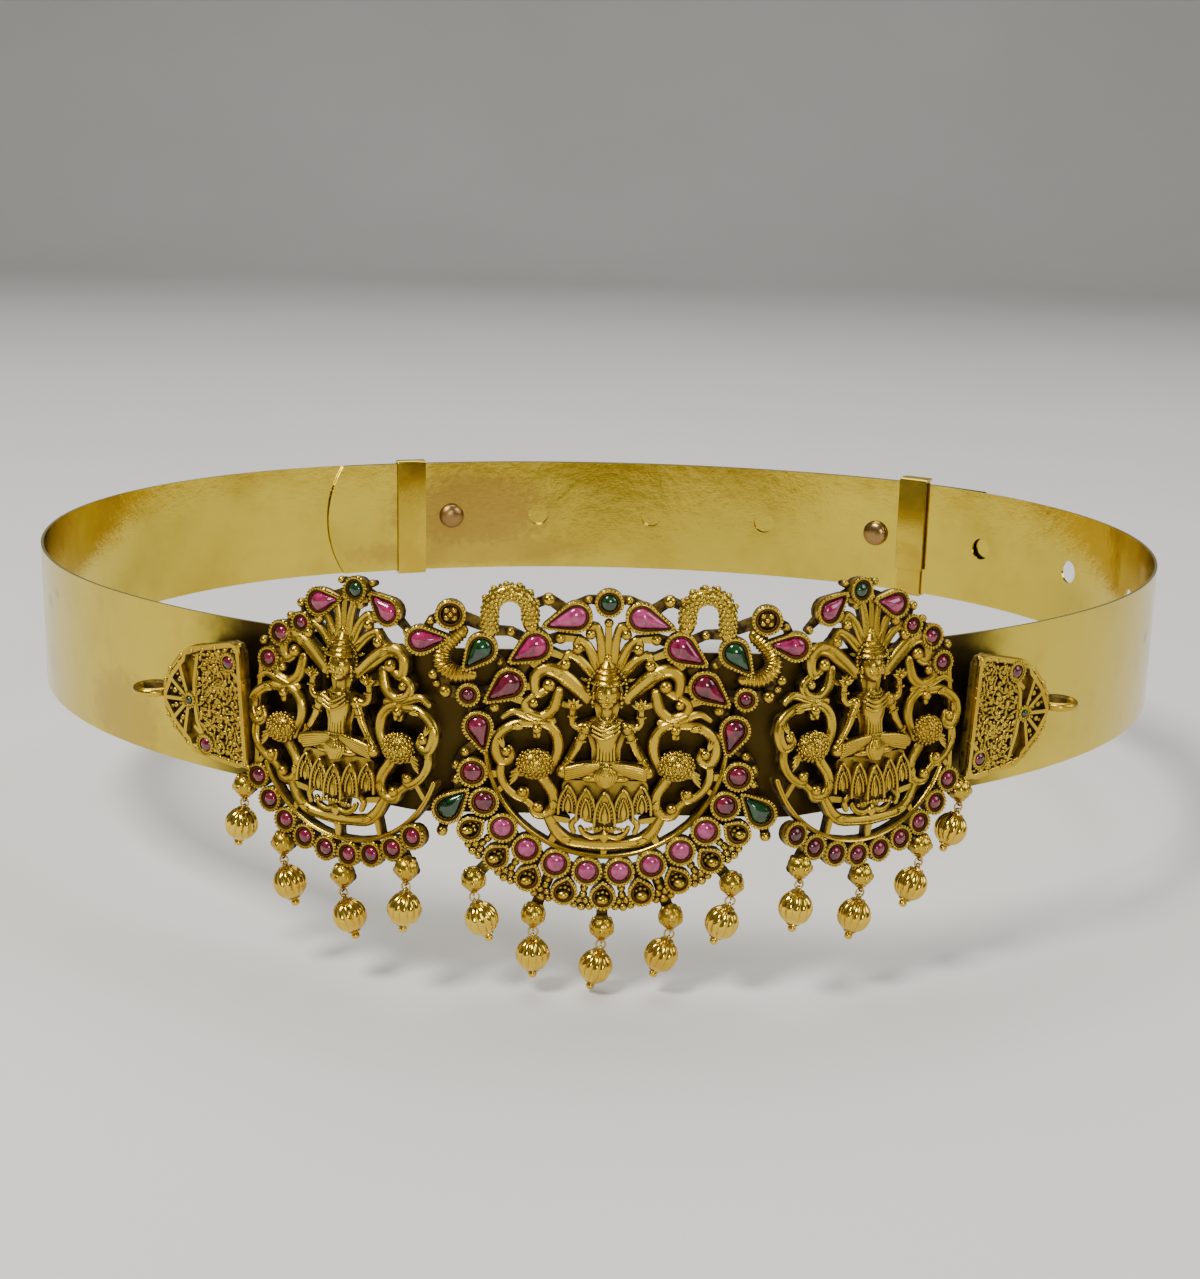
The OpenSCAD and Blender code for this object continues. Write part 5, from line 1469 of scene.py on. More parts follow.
@dataclass
class CentrePanel:
    """Details of the middle panel over its solid casting, in millimetres."""

    work: Work
    middle: Point = (0.0, -0.5)
    top: Triple = (0.0, 24.5, 4.9)
    small: Triple = (24.1, 7.8, 4.1)
    clover_at: Triple = (27.2, 22.0, 5.2)
    neck_at: tuple[float, ...] = (17.0, 22.5, 3.5, 1.25)
    rim_in: float = 0.25
    tilts: tuple[float, ...] = (20, 0, -13, -20, -20)

    def __post_init__(self) -> None:
        """Takes what it needs from the work."""
        self.c, self.m = self.work.casting, self.work.frames.centre()
        self.settings = Settings(self.c, self.m, self.c.wall, self.c.plate)
        self.drops = Drops(self.c)

    def rounds(self) -> list[Setting]:
        """The twelve stones of the lower ring; the lowest ones are pink.

        Returns:
            Their places.
        """
        places = [on_ring(self.middle, self.c.ring_r, s * (i + 0.5) * self.c.pitch)
                  for s in (-1, 1) for i in range(6)]
        return [Setting(x, y, 0, 2 * self.c.round_r, mark=int(y > -14)) for x, y in places]

    def blanks(self) -> list[Setting]:
        """The nine settings without stones."""
        return [Setting(*on_ring(self.middle, self.c.ring_r + 4.7, i * self.c.pitch),
                        90 + i * self.c.pitch, 4.7, 5.4) for i in range(-4, 5)]

    def caps(self) -> list[Point]:
        """Middles of the five flower caps."""
        return [on_ring(self.middle, self.c.ring_r + 10.6, k * 1.5 * self.c.pitch)
                for k in range(-2, 3)]

    def clover(self, s: Surface, side: int) -> None:
        """Adds the four-lobed flower near a top corner.

        Args:
            s: the surface.
            side: 1 right, -1 left.
        """
        x, y, w = self.clover_at
        x, a = side * x, np.radians([45, 135, 225, 315])
        self.settings.bezel(s, Setting(x, y, 0, w))
        # The flower's middle, between its lobes, takes the dark material: painted shade.
        s.mark = 1
        s.balls([[x, y, 1.2]], [[1.95, 1.95, 1.2]], 20)
        s.mark = 0
        s.balls(columns(x + 0.95 * np.cos(a), y + 0.95 * np.sin(a), 1.9), [[0.62, 0.62, 0.6]] * 4,
                12)
        s.balls([[x, y, 2.35]], 0.5, 10)

    def neck(self, s: Surface, side: int) -> None:
        """Adds the neck and head of a top peacock: a tube over an arch, set with rows of grains.

        Args:
            s: the surface.
            side: 1 right, -1 left.
        """
        x, y, r, w = self.neck_at
        t = np.concatenate([np.linspace(0, 1, 8, endpoint=False), np.linspace(1, 2, 22),
                            2 + np.linspace(0, 1, 6)[1:]])
        parts = [t < 1, t > 2]
        px = np.select(parts, [r, -r], r * np.cos((t - 1) * np.pi))
        py = np.select(parts, [-3.4 * (1 - t), -2.0 * (t - 2)], r * np.sin((t - 1) * np.pi))
        path = columns(side * (x + px), y + py, w + 0.16)
        s.tube(path, w + 0.15, 1.0, w, 16)
        d = np.gradient(path[:, :2], axis=0)
        d /= np.linalg.norm(d, axis=1, keepdims=True)
        u = lengths(path[:, :2])
        q = np.arange(0.2, u[-1], 0.74)
        cx, cy, dx, dy = (np.interp(q, u, v)[:, None] for v in (*path[:, :2].T, *d.T))
        a = np.radians(np.arange(-10, 200, 36.0) + (np.arange(len(q))[:, None] % 2) * 18)
        k = w + 0.14
        s.balls(columns(cx - k * np.cos(a) * dy, cy + k * np.cos(a) * dx,
                        w + 0.15 + k * np.sin(a)), 0.4, 6)
        hx, hy = side * (x - r - 0.2), y - 2.4
        s.balls([[hx, hy, 1.7], [hx - side * 1.1, hy - 0.5, 1.6], [hx + side * 0.1, hy + 1.3, 2.7]],
                [[1.35, 1.2, 1.3], [0.95, 0.5, 0.5], [0.3, 0.3, 0.3]], 12)
        a = np.radians(np.arange(20, 170, 26.0))
        s.balls(columns(side * x + 5.0 * np.cos(a), y + 4.95 * np.sin(a), 1.5), 0.6)

    def flank(self, s: Surface, side: int) -> None:
        """Adds what stands once on each side: settings, clover, neck, feather and granules.

        Args:
            s: the surface.
            side: 1 right, -1 left.
        """
        x, y, d = self.small
        for at in [*(flipped(row, side) for row in CENTRE_PEARS.values()),
                   Setting(side * x, y, 0, d)]:
            self.settings.bezel(s, at)
        self.clover(s, side)
        self.neck(s, side)
        p = smooth_path(np.array(FEATHER) * [side, 1, 1], 0.11)
        p[:, 2] += 0.5
        s.tube(p, 1.5, 0.8, 0.8, ribs=0.2, rib_step=0.68)
        g = np.array(GRAINS)
        s.balls(columns(side * g[:, 0], g[:, 1], self.c.plate + 0.35), g[:, 2] + 0.05, 14)

    def build(self) -> None:
        """Makes the panel's details, stones, beads and links."""
        s, w, c = Surface(self.m), self.work, self.c
        add_design(s, (0.0, 0.0), c.scroll, 30.0)
        add_rim(s, self.middle, c.ring_r - c.round_r - self.rim_in, np.arange(-84, 85, 2.0))
        top = Setting(self.top[0], self.top[1], 0, self.top[2])
        for at in [*self.rounds(), *self.blanks(), top]:
            self.settings.bezel(s, at)
        for at in self.blanks():
            self.settings.blank(s, at)
        for side in (-1, 1):
            self.flank(s, side)
        grains = np.array([[*on_ring(self.middle, r, (i + 0.5) * c.pitch + a), 1.45, size]
                           for i in range(-4, 4) for r, a, size in CLUSTER])
        s.balls(grains[:, :3], grains[:, 3], 12)
        for at in self.caps():
            self.drops.cap(s, at)
        s.piece("centre_relief", Slot.CASTING, "", w.centre_gold, w.painted_shade)
        self.stones(top)
        self.drops.hang(w, self.m, "centre", self.caps(), self.tilts, [1, 2, 3, 4, 5])

    def stones(self, top: Setting) -> None:
        """Makes the panel's cabochons, one piece for each solid.

        Args:
            top: place of the stone at the top.
        """
        w = self.work
        reds = {"top": w.pink, "shoulder": w.plum, "waist": w.plum}
        for side, word in ((-1, "left"), (1, "right")):
            for name, row in CENTRE_PEARS.items():
                green = name in ("feather", "low")
                slot, kind, material = ((Slot.GREEN, "emerald", w.emerald) if green else
                                        (Slot.RED, "ruby", reds.get(name, w.ruby)))
                self.settings.stones(f"cabochon_{name}_{word}", slot, f"{kind}_{name}_{word}",
                                     [flipped(row, side)], material)
        self.settings.stones("cabochon_top", Slot.GREEN, "centre_emerald", [top], w.emerald)
        x, y, d = self.small
        small = [Setting(side * x, y, 0, d, mark=1) for side in (-1, 1)]
        self.settings.stones("cabochons_centre_round", Slot.RED, "centre_rubies",
                             self.rounds() + small, w.pink, w.plum)


@dataclass
class SidePanel:
    """Details of a side panel over its solid casting, in millimetres; side is 1 right, -1 left."""

    work: Work
    side: int
    axis: Point = (-1.1, 2.8)
    middle: Point = (-2.9, -1.2)
    top: Triple = (-3.4, 25.1, 4.6)
    inner: tuple[float, ...] = (-10.2, 21.9, 38, 5.2, 7.4)
    outer: tuple[float, ...] = (4.2, 22.0, 168, 5.2, 7.6)
    upper: tuple[Triple, ...] = ((7.7, 17.8, 4.0), (12.1, 15.4, 4.6), (14.5, 10.4, 4.3))
    first: float = 61.3
    caps_at: tuple[float, ...] = (60, 31, 0, -31)
    rim_in: float = 0.25
    left_tilts: tuple[float, ...] = (-12, 18, 19, -5)
    right_tilts: tuple[float, ...] = (-22, -23, -15, -8)

    def __post_init__(self) -> None:
        """Takes what it needs from the work."""
        self.c, self.m = self.work.casting, self.work.frames.side(self.side)
        self.settings = Settings(self.c, self.m, self.c.wall, self.c.plate)
        self.drops = Drops(self.c, self.c.side_lean)

    def rounds(self) -> list[Setting]:
        """The round stones: three large ones up the outer edge and nine of the ring.

        Returns:
            Their places.
        """
        c = self.c
        ring = [(*on_ring(self.middle, c.side_ring_r, self.first - i * c.side_pitch),
                 2 * c.side_round_r) for i in range(9)]
        return [Setting(self.side * x, y, 0, d) for x, y, d in [*self.upper, *ring]]

    def caps(self) -> list[Point]:
        """Middles of the four flower caps.

        Returns:
            x and y of each.
        """
        r = self.c.side_ring_r + self.c.side_round_r + self.c.cap_r - 0.35
        points = [on_ring(self.middle, r, a) for a in self.caps_at]
        return [(self.side * x, y) for x, y in points]

    def build(self) -> None:
        """Makes the panel's details, stones, beads and links."""
        w, c, side = self.work, self.c, self.side
        s, word = Surface(self.m), "right" if side > 0 else "left"
        add_design(s, (side * self.axis[0], self.axis[1]), c.scroll, 18.0)
        add_rim(s, self.middle, c.side_ring_r - c.side_round_r - self.rim_in,
                np.arange(-72, 67, 2.0), side)
        top = Setting(side * self.top[0], self.top[1], 0, self.top[2])
        pears = {"inner": flipped(self.inner, side), "outer": flipped(self.outer, side)}
        for at in [top, *pears.values(), *self.rounds()]:
            self.settings.bezel(s, at)
        for at in self.caps():
            self.drops.cap(s, at)
        s.piece(f"{word}_relief", Slot.CASTING, "", w.side_gold[side], w.painted_shade)
        self.settings.stones(f"cabochon_{word}_top", Slot.GREEN, f"{word}_panel_emerald", [top],
                             w.emerald)
        for name, at in pears.items():
            self.settings.stones(f"cabochon_{word}_{name}", Slot.RED, f"{word}_panel_ruby_{name}",
                                 [at], w.ruby)
        self.settings.stones(f"cabochons_{word}_round", Slot.RED, f"{word}_panel_rubies",
                             self.rounds(), w.plum)
        tilts, numbers = ((self.right_tilts, [4, 3, 2, 1]) if side > 0 else
                          (self.left_tilts, [1, 2, 3, 4]))
        self.drops.hang(w, self.m, word, self.caps(), tilts, numbers)


@dataclass
class EndPiece:
    """Details of a tapering end piece, in millimetres; side is 1 right, -1 left."""

    work: Work
    side: int
    eye_in: float = 6.5
    bar: float = 0.38
    spacing: float = 0.95
    draw: int = 11

    def __post_init__(self) -> None:
        """Takes what it needs from the work."""
        self.c, self.m = self.work.casting, self.work.frames.wing(self.side)
        self.tip = self.c.wing_tip
        self.eye = Setting(self.tip - self.eye_in, 0, 0, 3.0, mark=1)
        self.places = [self.eye, Setting(2.9 - self.tip, -7.9, 0, 3.9), Setting(0.1, 8.2, 0, 4.0)]
        self.settings = Settings(self.c, self.m, self.c.wing_wall, self.c.wing_plate)

    def bars(self) -> list[list[list[float]]]:
        """Raised bars round the edge, across the foot and out from the eye, like a fan.

        Returns:
            x, y and half width of the points of each bar.
        """
        tip, e, b = self.tip, self.eye.x, self.bar
        edge = [[-tip, 11.4], [0.1, 9.8], [4.6, 8.4], [tip - 2.1, 5.2], [tip - 0.4, 2.0],
                [tip - 0.4, -2.0], [tip - 2.1, -5.2], [4.6, -8.4], [0.1, -9.8], [-tip, -11.4]]
        fan = [(math.cos(math.radians(a)), math.sin(math.radians(a))) for a in range(-72, 73, 36)]
        return ([[[*p, 0.42], [*q, 0.42]] for p, q in zip(edge, edge[1:])]
                + [[[-tip + 0.45, y, 0.45] for y in (11.2, 0, -11.2)]]
                + [[[e, 0, 0.35], [e + 6 * x, 7.4 * y, b]] for x, y in fan]
                + [[[0.4, -8.6, b], [1.4, -4, b], [1.7, 0, b], [1.4, 4, b], [0.4, 6.4, b]],
                   [[-9.0, -4.6, b], [-4.2, -9.4, b]], [[-2.2, 9.0, b], [2.2, 5.0, b]]])

    def rubble(self, s: Surface) -> None:
        """Adds the crowded granules and chips: a grid of places, each moved by a random draw.

        Args:
            s: the surface.
        """
        rng, tip, plate = np.random.default_rng(self.draw), self.tip, self.c.wing_plate
        x, y = np.meshgrid(np.arange(-tip + 1, 1.2, self.spacing),
                           np.arange(-9.8, 10.2, self.spacing))
        p = columns(x.ravel(), y.ravel()) + rng.uniform(-0.3, 0.3, (x.size, 2))
        near = [np.hypot(p[:, 0] - q.x, p[:, 1] - q.y) > q.w / 2 + 0.15 for q in self.places]
        p = p[np.logical_and.reduce(near) & (np.abs(p[:, 1]) < 10.6 - 0.12 * (p[:, 0] + tip))]
        size = rng.uniform(0.34, 0.72, (len(p), 3)) * [1.1, 1.1, 1.0]
        s.balls(columns(*p.T, plate + 0.55 + rng.uniform(0, 0.35, len(p))), size)
        for q in p[::2]:
            a = rng.uniform(0, math.pi)
            d = np.array([math.cos(a), math.sin(a)]) * rng.uniform(0.6, 1.1)
            bow = [[*(q - d), 0.16], [*(q + 0.3 * np.array([-d[1], d[0]])), 0.2], [*(q + d), 0.16]]
            s.tube(smooth_path(bow, 0.5), plate + 1.1, 1.0, 0.8, 6)
        for a in (-54, -18, 18, 54):
            t = math.radians(a)
            s.balls([[self.eye.x + k * math.cos(t), 1.15 * k * math.sin(t), plate + 0.5]
                     for k in (2.6, 3.9, 5.0)], [0.55, 0.7, 0.5], 10)

    def ring(self, s: Surface) -> None:
        """Adds the tie ring's rounded skin.

        Args:
            s: the surface.
        """
        c = self.c
        half = c.ring_wire / 2
        outer, s.m = s.m, self.work.frames.wing(self.side, False)
        with s.inside(moved(self.side * (c.wing_tip + c.ring_hole_r + c.ring_wire - 0.1), 0,
                            half + 0.1) @ turned("X", 90)):
            s.torus(c.ring_hole_r + half, half + 0.04, 48, 14)
        s.m = outer

    def build(self) -> None:
        """Makes the end piece's details and stones."""
        s, w, word = Surface(self.m), self.work, "right" if self.side > 0 else "left"
        for row in self.bars():
            s.tube(smooth_path(row, 0.6), 2.05, 1.0, 0.8, 10)
        self.rubble(s)
        for at in self.places:
            self.settings.bezel(s, at)
        s.balls([[x, y, 2.3] for x, y in END_EDGE], 0.5, 10)
        self.ring(s)
        s.piece(f"{word}_end_relief", Slot.CASTING, "", w.wing_gold[self.side], w.painted_shade)
        self.settings.stones(f"cabochons_{word}_end", Slot.WING, f"{word}_wing_stones",
                             self.places, w.plum, w.emerald)


def rounded(a: float, b: float, r: float) -> Array:
    """Rectangle of half sizes a and b with its corners rounded by radius r.

    Args:
        a, b: half sizes.
        r: radius of the corners.

    Returns:
        24 by 2 points.
    """
    t = np.linspace(0, np.pi / 2, 6) + np.arange(4)[:, None] * np.pi / 2
    sx, sy = np.array([[1, -1, -1, 1], [1, 1, -1, -1]])[..., None]
    return columns(sx * (a - r) + r * np.cos(t), sy * (b - r) + r * np.sin(t)).reshape(-1, 2)


@dataclass
class Band:
    """The strap, its keepers and studs."""

    work: Work
    spacing: float = 1.5
    hole_sides: int = 40
    finish: StrapFinish = StrapFinish()

    def __post_init__(self) -> None:
        """Takes what it needs from the work."""
        self.strap, self.line = self.work.strap, self.work.line

    def holes(self) -> list[Triple]:
        """Holes of the inner lap.

        Returns:
            Length along the strap, height and radius of each.
        """
        s = self.strap
        at = [s.hole_start + i * s.hole_pitch for i in range(s.hole_count)]
        middles = [self.line.at_back(a, 0 if a > 0 else -s.lap)[:2, 3] for a in at]
        return [(self.line.nearest(*m, 330, 9000), 0, s.hole_r) for m in middles]

    def tip(self, y: Array) -> Array:
        """Length at which the round inner tip starts, at a height y."""
        r = self.strap.tip_r
        return r - np.sqrt(r ** 2 - y ** 2)

    def flat(self) -> tuple[Array, Array]:
        """Cuts the strap as a flat shape: points inside its outline and outside its holes.

        Returns:
            Points as length and height, and rows of three point numbers.
        """
        s, end, half, n = self.strap, self.line.u[-1], self.strap.height / 2, self.hole_sides
        v, cut, holes = np.linspace(-half, half, 25), s.end_cut, self.holes()
        top = columns(np.arange(6, end - 3.5, self.spacing), half)
        corner = np.array([[end - cut, half], [end, half - cut], [end, 0], [end, cut - half],
                           [end - cut, -half]])
        loops = [np.concatenate([columns(self.tip(v), v), top, corner, top[::-1] * [1, -1]])]
        loops += [columns(u + r * np.cos(circle(n)), z + r * np.sin(circle(n)))
                  for u, z, r in holes]
        edges, count = [], 0
        for loop in loops:
            k = len(loop)
            edges += [(count + i, count + (i + 1) % k) for i in range(k)]
            count += k
        gu, gz = np.meshgrid(np.arange(2.0, end - 1, self.spacing), [-10.0, -5.0, 0.0, 5.0, 10.0])
        grid = columns(gu.ravel(), gz.ravel())
        clear = self.tip(grid[:, 1]) + 0.6 < grid[:, 0]
        for u, z, r in holes:
            clear &= np.hypot(grid[:, 0] - u, grid[:, 1] - z) > r + 0.5
        verts = np.concatenate([*loops, grid[clear]])
        out = delaunay_2d_cdt([Vector(q) for q in verts.tolist()], edges, [], 0, 1e-6)
        flat, tris = np.array([q[:] for q in out[0]]), np.array(out[2])
        mid = flat[tris].mean(axis=1)
        inside = mid[:, 0] > self.tip(np.minimum(np.abs(mid[:, 1]), half))
        inside &= mid[:, 0] + np.abs(mid[:, 1]) < end + half - cut
        for u, z, r in holes:
            inside &= np.hypot(mid[:, 0] - u, mid[:, 1] - z) > r * 0.995
        return flat, tris[inside]

    def sheet(self) -> None:
        """Makes the strap: bends the flat shape round the oval and gives it its thickness."""
        flat, tris = self.flat()
        q, d = self.line.at(flat[:, 0])
        skins = [columns(*(q + k * self.strap.thick / 2 * d).T, flat[:, 1]) for k in (1, -1)]
        n = len(flat)
        pairs = np.concatenate([tris[:, [0, 1]], tris[:, [1, 2]], tris[:, [2, 0]]])
        _, first, many = np.unique(np.sort(pairs, axis=1), axis=0, return_index=True,
                                   return_counts=True)
        a, b = pairs[first[many == 1]].T
        body = Surface(np.eye(4))
        body.add(np.concatenate(skins), columns(a, b, b + n, a + n),
                 np.concatenate([tris, tris[:, ::-1] + n]))
        obj = body.piece("strap_sheet", Slot.STRAP, "band", self.brass(), sharp=35.0)
        for name, values in (("along", np.tile(flat[:, 0], 2)), ("across", np.tile(flat[:, 1], 2)),
                             ("outer", np.repeat([1.0, 0.0], n))):
            obj.data.attributes.new(name, "FLOAT", "POINT").data.foreach_set(
                "value", values.astype(np.float32))

    def brass(self) -> bpy.types.Material:
        """Rolled brass: fine lines along the strap, cloudy tarnish, stains and fingerprints, and
        painted shade on the outer face behind the castings.

        Returns:
            The material.
        """
        material, w, shader = new_material("strap_brass")
        f, (along, across, outer) = self.finish, map(w.attribute, ("along", "across", "outer"))
        drawn = w.add("CombineXYZ", {0: w.times(along, 0.02), 1: across}).outputs[0]
        flat = w.add("CombineXYZ", {0: along, 1: across}).outputs[0]
        cloud = w.noise(flat, 0.045, 6.0, Roughness=0.62)
        speck = w.noise(flat, 0.5, 3.0)
        stain = w.math("MAXIMUM", w.times(w.span(cloud, 0.42, 0.75), 0.5),
                       w.span(speck, 0.7, 0.78, 0.0, 0.45))
        faces, marks = {True: outer, False: w.minus(1.0, outer)}, None
        uneven = w.times(w.minus(speck, 0.5), 1.2)
        for u, z, ru, rz, amount, outside in self.stains():
            near = [w.math("POWER", w.math("DIVIDE", w.minus(a, b), r), 2.0)
                    for a, b, r in ((along, u, ru), (across, z, rz))]
            mask = w.times(w.span(w.plus(w.plus(*near), uneven), 0.25, 1.1, amount, 0.0),
                           faces[outside])
            marks = mask if marks is None else w.math("MAXIMUM", marks, mask)
        # Painted shade: the outer face behind the castings turns dark brown and rougher, fully
        # within about 70 mm of the front along the strap and gone by 88 mm.
        front = self.line.nearest(0.0, -self.strap.front_depth, self.line.u[-1], 20000)
        away = w.plus(w.math("ABSOLUTE", w.minus(along, front)), w.times(speck, 4.0))
        behind = w.times(w.span(away, 70.0, 88.0, 0.95, 0.0), outer)
        base = w.mix(marks, w.mix(stain, (*f.clean, 1), (*f.tarnish, 1)), (*f.stain, 1))
        rough = w.plus(w.plus(f.polish, w.times(stain, 0.16)), w.times(marks, 0.22))
        lines = w.bump(w.noise(drawn, 9.0, 5.0), 0.1, 0.0001)
        w.feed(shader, {"Base Color": w.mix(behind, base, (*f.painted_shade, 1)),
                        "Roughness": w.plus(rough, w.times(behind, 0.35)), "Metallic": 1.0,
                        "Normal": w.bump(cloud, 0.25, 0.0012, Normal=lines)})
        return material

    def stains(self) -> list[tuple[float, float, float, float, float, bool]]:
        """Stains as the photo places them: round the studs inside, and small marks outside.

        Returns:
            Length along, height, two half sizes, strength and whether it is outside.
        """
        s, reach = self.strap, self.line.u[-1]
        left, right = (self.line.nearest(*self.line.at_back(at, off)[:2, 3], reach, 20000)
                       for at, off in ((s.stud_left_at, -s.lap), (s.stud_right_at, s.lap)))
        rows = [(left + 6, 1.0, 26.0, 13.0, 0.55, False), (left + 4, -10.0, 40.0, 5.0, 0.35, False),
                (right - 4, -4.0, 9.0, 6.0, 0.3, False)]
        spots = ((-112, -42, 6, 2.6, 0.45), (-109, -48, 9, 1.6, 0.4), (112, -44, 3, 2.4, 0.45),
                 (-96, -76, -9, 14.0, 0.35))
        return rows + [(self.line.nearest(x, y, reach, 20000), z, size, size * 0.7, amount, True)
                       for x, y, z, size, amount in spots]

    def keeper(self, name: str, along: float, off: float, w: float, strip: bool) -> None:
        """Makes a keeper: a sleeve with rounded corners, and a lapping strip where wanted.

        Args:
            name: the solid node that it replaces.
            along: place along the strap.
            off: distance outward of its middle.
            w: width of the sleeve.
            strip: whether a second strip lies over it inside the belt.
        """
        st, t, e = self.strap, self.strap.keeper_t, w / 2
        depth, tall = (st.lap + st.thick) / 2 + st.keeper_gap, st.height / 2 + st.keeper_gap
        inner, outer = rounded(depth, tall, 0.15), rounded(depth + t, tall + t, 0.6)
        s = Surface(self.line.at_back(along, off))
        s.rings(np.array([columns(x, *a.T) for x, a in (
            (-e, inner), (-e + 0.1, inner * 0.999), (e - 0.1, inner * 0.999), (e, inner),
            (e, outer * 0.995), (e - 0.12, outer), (-e + 0.12, outer), (-e, outer * 0.995))]),
            looped=True)
        if strip:
            self.lapping(s, -depth - t - 0.02, tall + t + 0.02, depth + t)
        finish = MetalFinish(bright=(0.70, 0.53, 0.065), dark=(0.2, 0.12, 0.02), polish=0.16,
                             relief=0.04, worn=0.2, grain=0.8)
        s.piece(f"{name}_sleeve", Slot.STRAP, name,
                self.work.finishes.metal(name, finish, amount=0.5), sharp=40.0)

    def lapping(self, s: Surface, y: float, top: float, back: float) -> None:
        """Adds the strip that laps over a keeper: a bevelled section carried along a line.

        Args:
            s: the keeper's surface.
            y: face of the keeper inside the belt.
            top: height of the keeper's top.
            back: where the strip ends outside the belt.
        """
        e = self.strap.keeper_w / 2
        line = np.array([[y - 0.3, -8.5], [y - 0.3, top - 0.5], [y - 0.2, top - 0.05],
                         [y + 0.2, top + 0.2], [back, top + 0.2]])
        d = np.gradient(line, axis=0)
        d /= np.linalg.norm(d, axis=1, keepdims=True)
        x, k = np.array([(-e, -0.2), (-e + 0.1, -0.3), (e - 0.1, -0.3), (e, -0.2), (e, 0.2),
                         (e - 0.1, 0.3), (-e + 0.1, 0.3), (-e, 0.2)]).T
        s.rings(columns(x, line[:, :1] - k * d[:, 1:], line[:, 1:] + k * d[:, :1]))

    def stud(self, name: str, along: float, off: float) -> None:
        """Makes a domed stud with a flat head outside.

        Args:
            name: the solid node that it replaces.
            along: place along the strap.
            off: distance outward of its middle.
        """
        st = self.strap
        r, h, stem = st.stud_r, (st.lap + st.thick) / 2 + 0.2, st.hole_r - 0.35
        rows = [(0.05, -h - 0.6), (r - 0.15, -h - 0.6), (r, -h - 0.45), (r, -h - 0.05),
                (r - 0.1, -h), (stem, -h + 0.02), (stem, h - 0.02), (r - 0.2, h), (r, h + 0.12)]
        rows += [(r * math.cos(a) ** 0.9, h + 0.15 + 1.85 * math.sin(a))
                 for a in np.linspace(0.1, 1.5, 9)]
        s = Surface(self.line.at_back(along, off) @ turned("X", 90))
        s.lathe(rows, 40)
        finish = MetalFinish(bright=(0.36, 0.22, 0.08), dark=(0.03, 0.02, 0.012), polish=0.25,
                             worn=0.35, relief=0.15)
        s.piece(f"{name}_dome", Slot.STUD, name,
                self.work.finishes.metal(name, finish, amount=0.9))

    def build(self) -> None:
        """Makes the strap, both keepers and both studs."""
        s = self.strap
        self.sheet()
        self.keeper("keeper_left", s.keeper_left_at, -s.lap / 2, s.keeper_w, False)
        self.keeper("keeper_right", s.keeper_right_at, s.lap / 2, s.keeper_w - 1, True)
        self.stud("stud_left", s.stud_left_at, -s.lap / 2)
        self.stud("stud_right", s.stud_right_at, s.lap / 2)


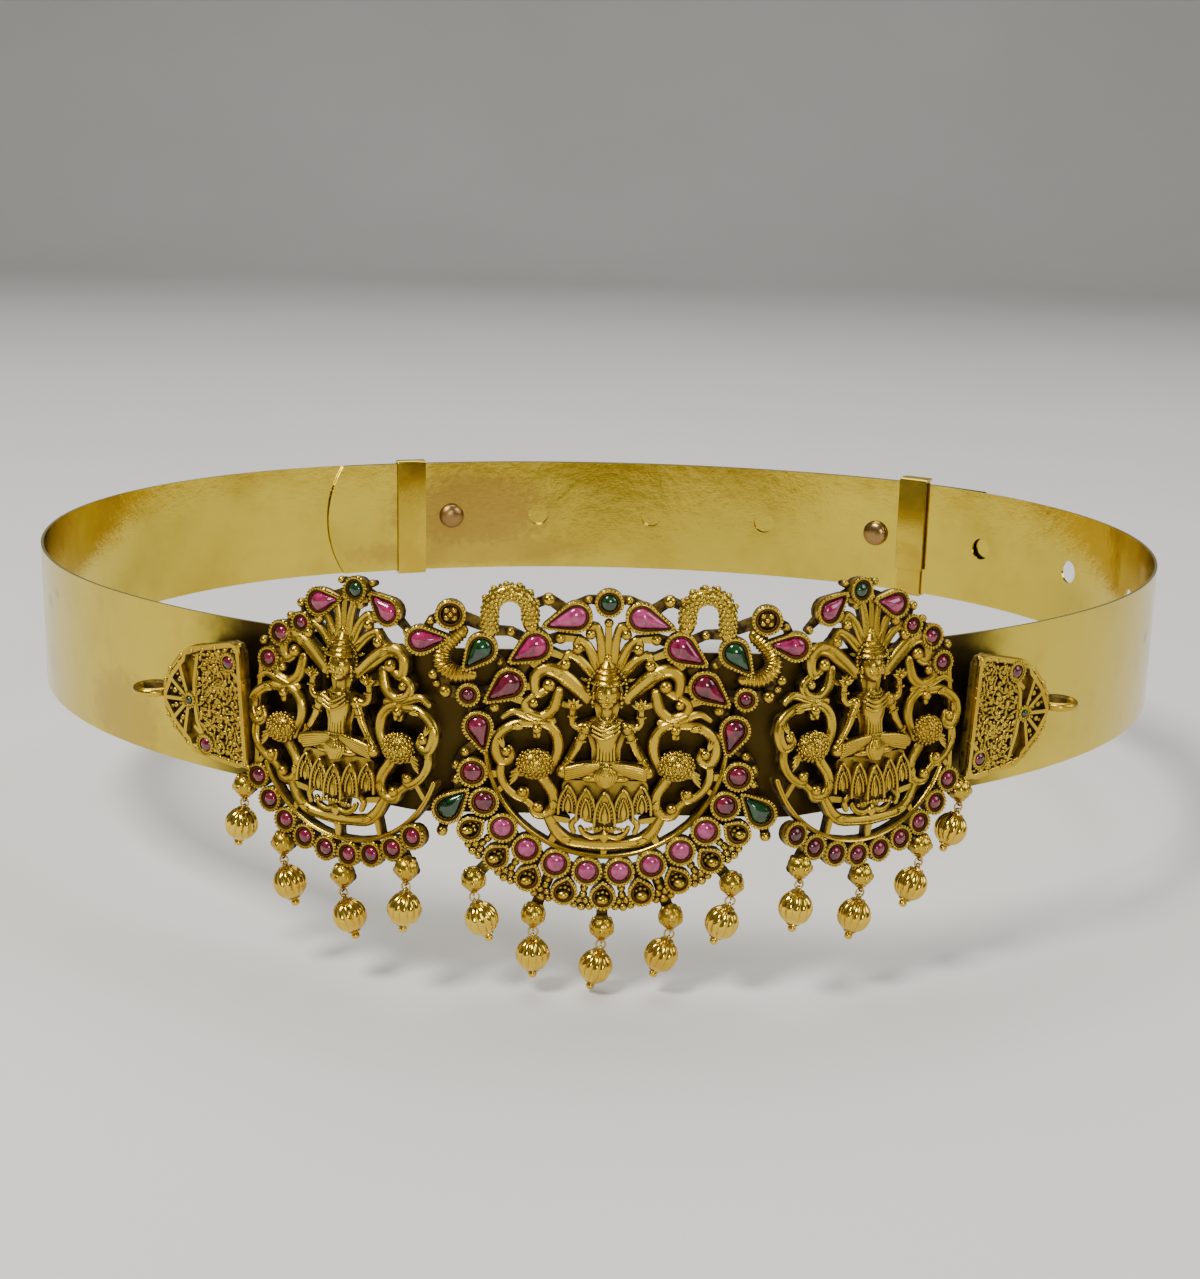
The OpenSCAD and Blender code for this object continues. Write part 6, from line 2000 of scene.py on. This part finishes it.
@dataclass(frozen=True)
class Studio:
    """Floor, soft light and the camera that was fitted to the photo's 1200 by 1279 pixels."""

    floor_z: float
    focal_px: float = 1900.0
    width_px: float = 1200.0
    place: Triple = (-6.94, -432.77, 98.30)
    yaw: float = 0.0172
    pitch: float = 0.2481
    roll: float = 0.0230

    def camera(self) -> None:
        """Places the camera: its axes from yaw and pitch, then turned by its roll."""
        data = bpy.data.cameras.new("camera")
        data.sensor_fit, data.sensor_width = "HORIZONTAL", 36.0
        data.lens = 36.0 * self.focal_px / self.width_px
        data.clip_start, data.clip_end = 0.01, 20.0
        right = np.array([math.cos(self.yaw), -math.sin(self.yaw), 0.0])
        fwd = np.array([math.sin(self.yaw) * math.cos(self.pitch),
                        math.cos(self.yaw) * math.cos(self.pitch), -math.sin(self.pitch)])
        up = np.cross(right, fwd)
        c, s = math.cos(self.roll), math.sin(self.roll)
        m = np.eye(4)
        m[:3] = columns(right * c + up * s, -right * s + up * c, -fwd, np.array(self.place) * MM)
        obj = linked("camera", data)
        obj.matrix_world = Matrix(m.tolist())
        bpy.context.scene.camera = obj

    def lamp(self, name: str, at: Triple, size: float, power: float, colour: Colour,
             aim: Triple = (0, 0, 0)) -> None:
        """Hangs a soft square lamp.

        Args:
            name: its name.
            at: its place in metres.
            size: its edge in metres.
            power: its power in watts.
            colour: its colour.
            aim: what it points at.
        """
        data = bpy.data.lights.new(name, "AREA")
        data.size, data.energy, data.color = size, power, colour
        obj = linked(name, data)
        obj.location = at
        obj.rotation_euler = (Vector(aim) - Vector(at)).to_track_quat("-Z", "Y").to_euler()

    def staged(self, name: str, verts: list, faces: list, material: bpy.types.Material
               ) -> bpy.types.Object:
        """Makes a thing of the studio that isn't part of the belt.

        Args:
            name: its name.
            verts: its points in metres.
            faces: its faces.
            material: its material.

        Returns:
            The object.
        """
        mesh = bpy.data.meshes.new(name)
        mesh.from_pydata(verts, [], faces)
        mesh.materials.append(material)
        obj = linked(name, mesh)
        obj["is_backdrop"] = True
        return obj

    def floor(self) -> None:
        """Lays a plain pale floor that curves up far behind, by a quarter of a circle."""
        t = np.linspace(0, 1, 24)
        a = np.maximum(t - 0.5, 0) * np.pi
        back = columns(1.4 + np.minimum(t, 0.5) + 0.6 * np.sin(a), 0.6 * (1 - np.cos(a)))
        line = np.concatenate([[[-3.0, 0.0]], back, [[2.5, 3.0]]])
        verts = [(x, b, self.floor_z + c) for b, c in line for x in (-5.0, 5.0)]
        faces = [(2 * i, 2 * i + 1, 2 * i + 3, 2 * i + 2) for i in range(len(line) - 1)]
        material, w, shader = new_material("floor_pale")
        pale = w.mix(w.noise(w.place(), 3.0, 6.0), (0.56, 0.55, 0.52, 1), (0.66, 0.65, 0.62, 1))
        w.feed(shader, {"Base Color": pale, "Roughness": 0.85})
        mesh = self.staged("floor", verts, faces, material).data
        mesh.polygons.foreach_set("use_smooth", np.ones(len(faces), bool))

    def card(self, name: str, at: Triple) -> None:
        """Stands a dark card, 0.3 by 0.9 m, whose reflection shapes the metal.

        Args:
            name: its name.
            at: its middle in metres.
        """
        turn = (-Vector(at)).to_track_quat("Z", "Y").to_matrix()
        verts = [Vector(at) + turn @ Vector((x * 0.15, y * 0.45, 0))
                 for x, y in ((-1, -1), (1, -1), (1, 1), (-1, 1))]
        material, w, shader = new_material(name)
        w.feed(shader, {"Base Color": (0.03, 0.02, 0.015, 1), "Roughness": 0.9})
        self.staged(name, verts, [(0, 1, 2, 3)], material).visible_camera = False

    def build(self) -> None:
        """Sets floor, light, cards and camera up."""
        self.floor()
        self.camera()
        self.lamp("key", (-0.6, -0.6, 1.2), 0.4, 22.0, (1.0, 0.98, 0.94))
        self.lamp("fill", (1.2, -0.5, 0.8), 0.8, 8.0, (0.93, 0.96, 1.0))
        self.lamp("top", (0.0, 0.5, 1.4), 1.2, 18.0, (1.0, 1.0, 1.0))
        self.lamp("low_front", (0.2, -1.3, 0.3), 0.22, 4.0, (1.0, 0.97, 0.92), (0, -0.1, -0.01))
        self.card("card_front_left", (-0.45, -1.1, 0.1))
        self.card("card_front_right", (0.75, -1.0, 0.1))
        world = bpy.data.worlds.new("soft_grey")
        world.use_nodes = True
        light = world.node_tree.nodes["Background"].inputs
        light["Color"].default_value = (0.78, 0.80, 0.82, 1)
        light["Strength"].default_value = 0.24
        bpy.context.scene.world = world


def repaint(work: Work) -> None:
    """Gives the solid castings that stay in view their antique gold.

    Args:
        work: sizes, frames and finishes.
    """
    gold = {"centre_panel": work.centre_gold, "left_panel": work.side_gold[-1],
            "right_panel": work.side_gold[1], "left_wing": work.wing_gold[-1],
            "right_wing": work.wing_gold[1]}
    for name, material in gold.items():
        obj = frame["nodes"][name]
        obj.data.materials.clear()
        obj.data.materials.append(material)


def as_lists(bounds: list) -> list:
    return np.array(bounds, float).tolist()


def main() -> None:
    """Builds every piece, the floor, the light and the camera."""
    logging.basicConfig(level=logging.INFO)
    first = as_lists(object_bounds())
    work = Work()
    Band(work).build()
    CentrePanel(work).build()
    for side in (-1, 1):
        SidePanel(work, side).build()
        EndPiece(work, side).build()
    repaint(work)
    Studio(first[0][2] - 0.0006).build()


if __name__ == "__main__":
    main()
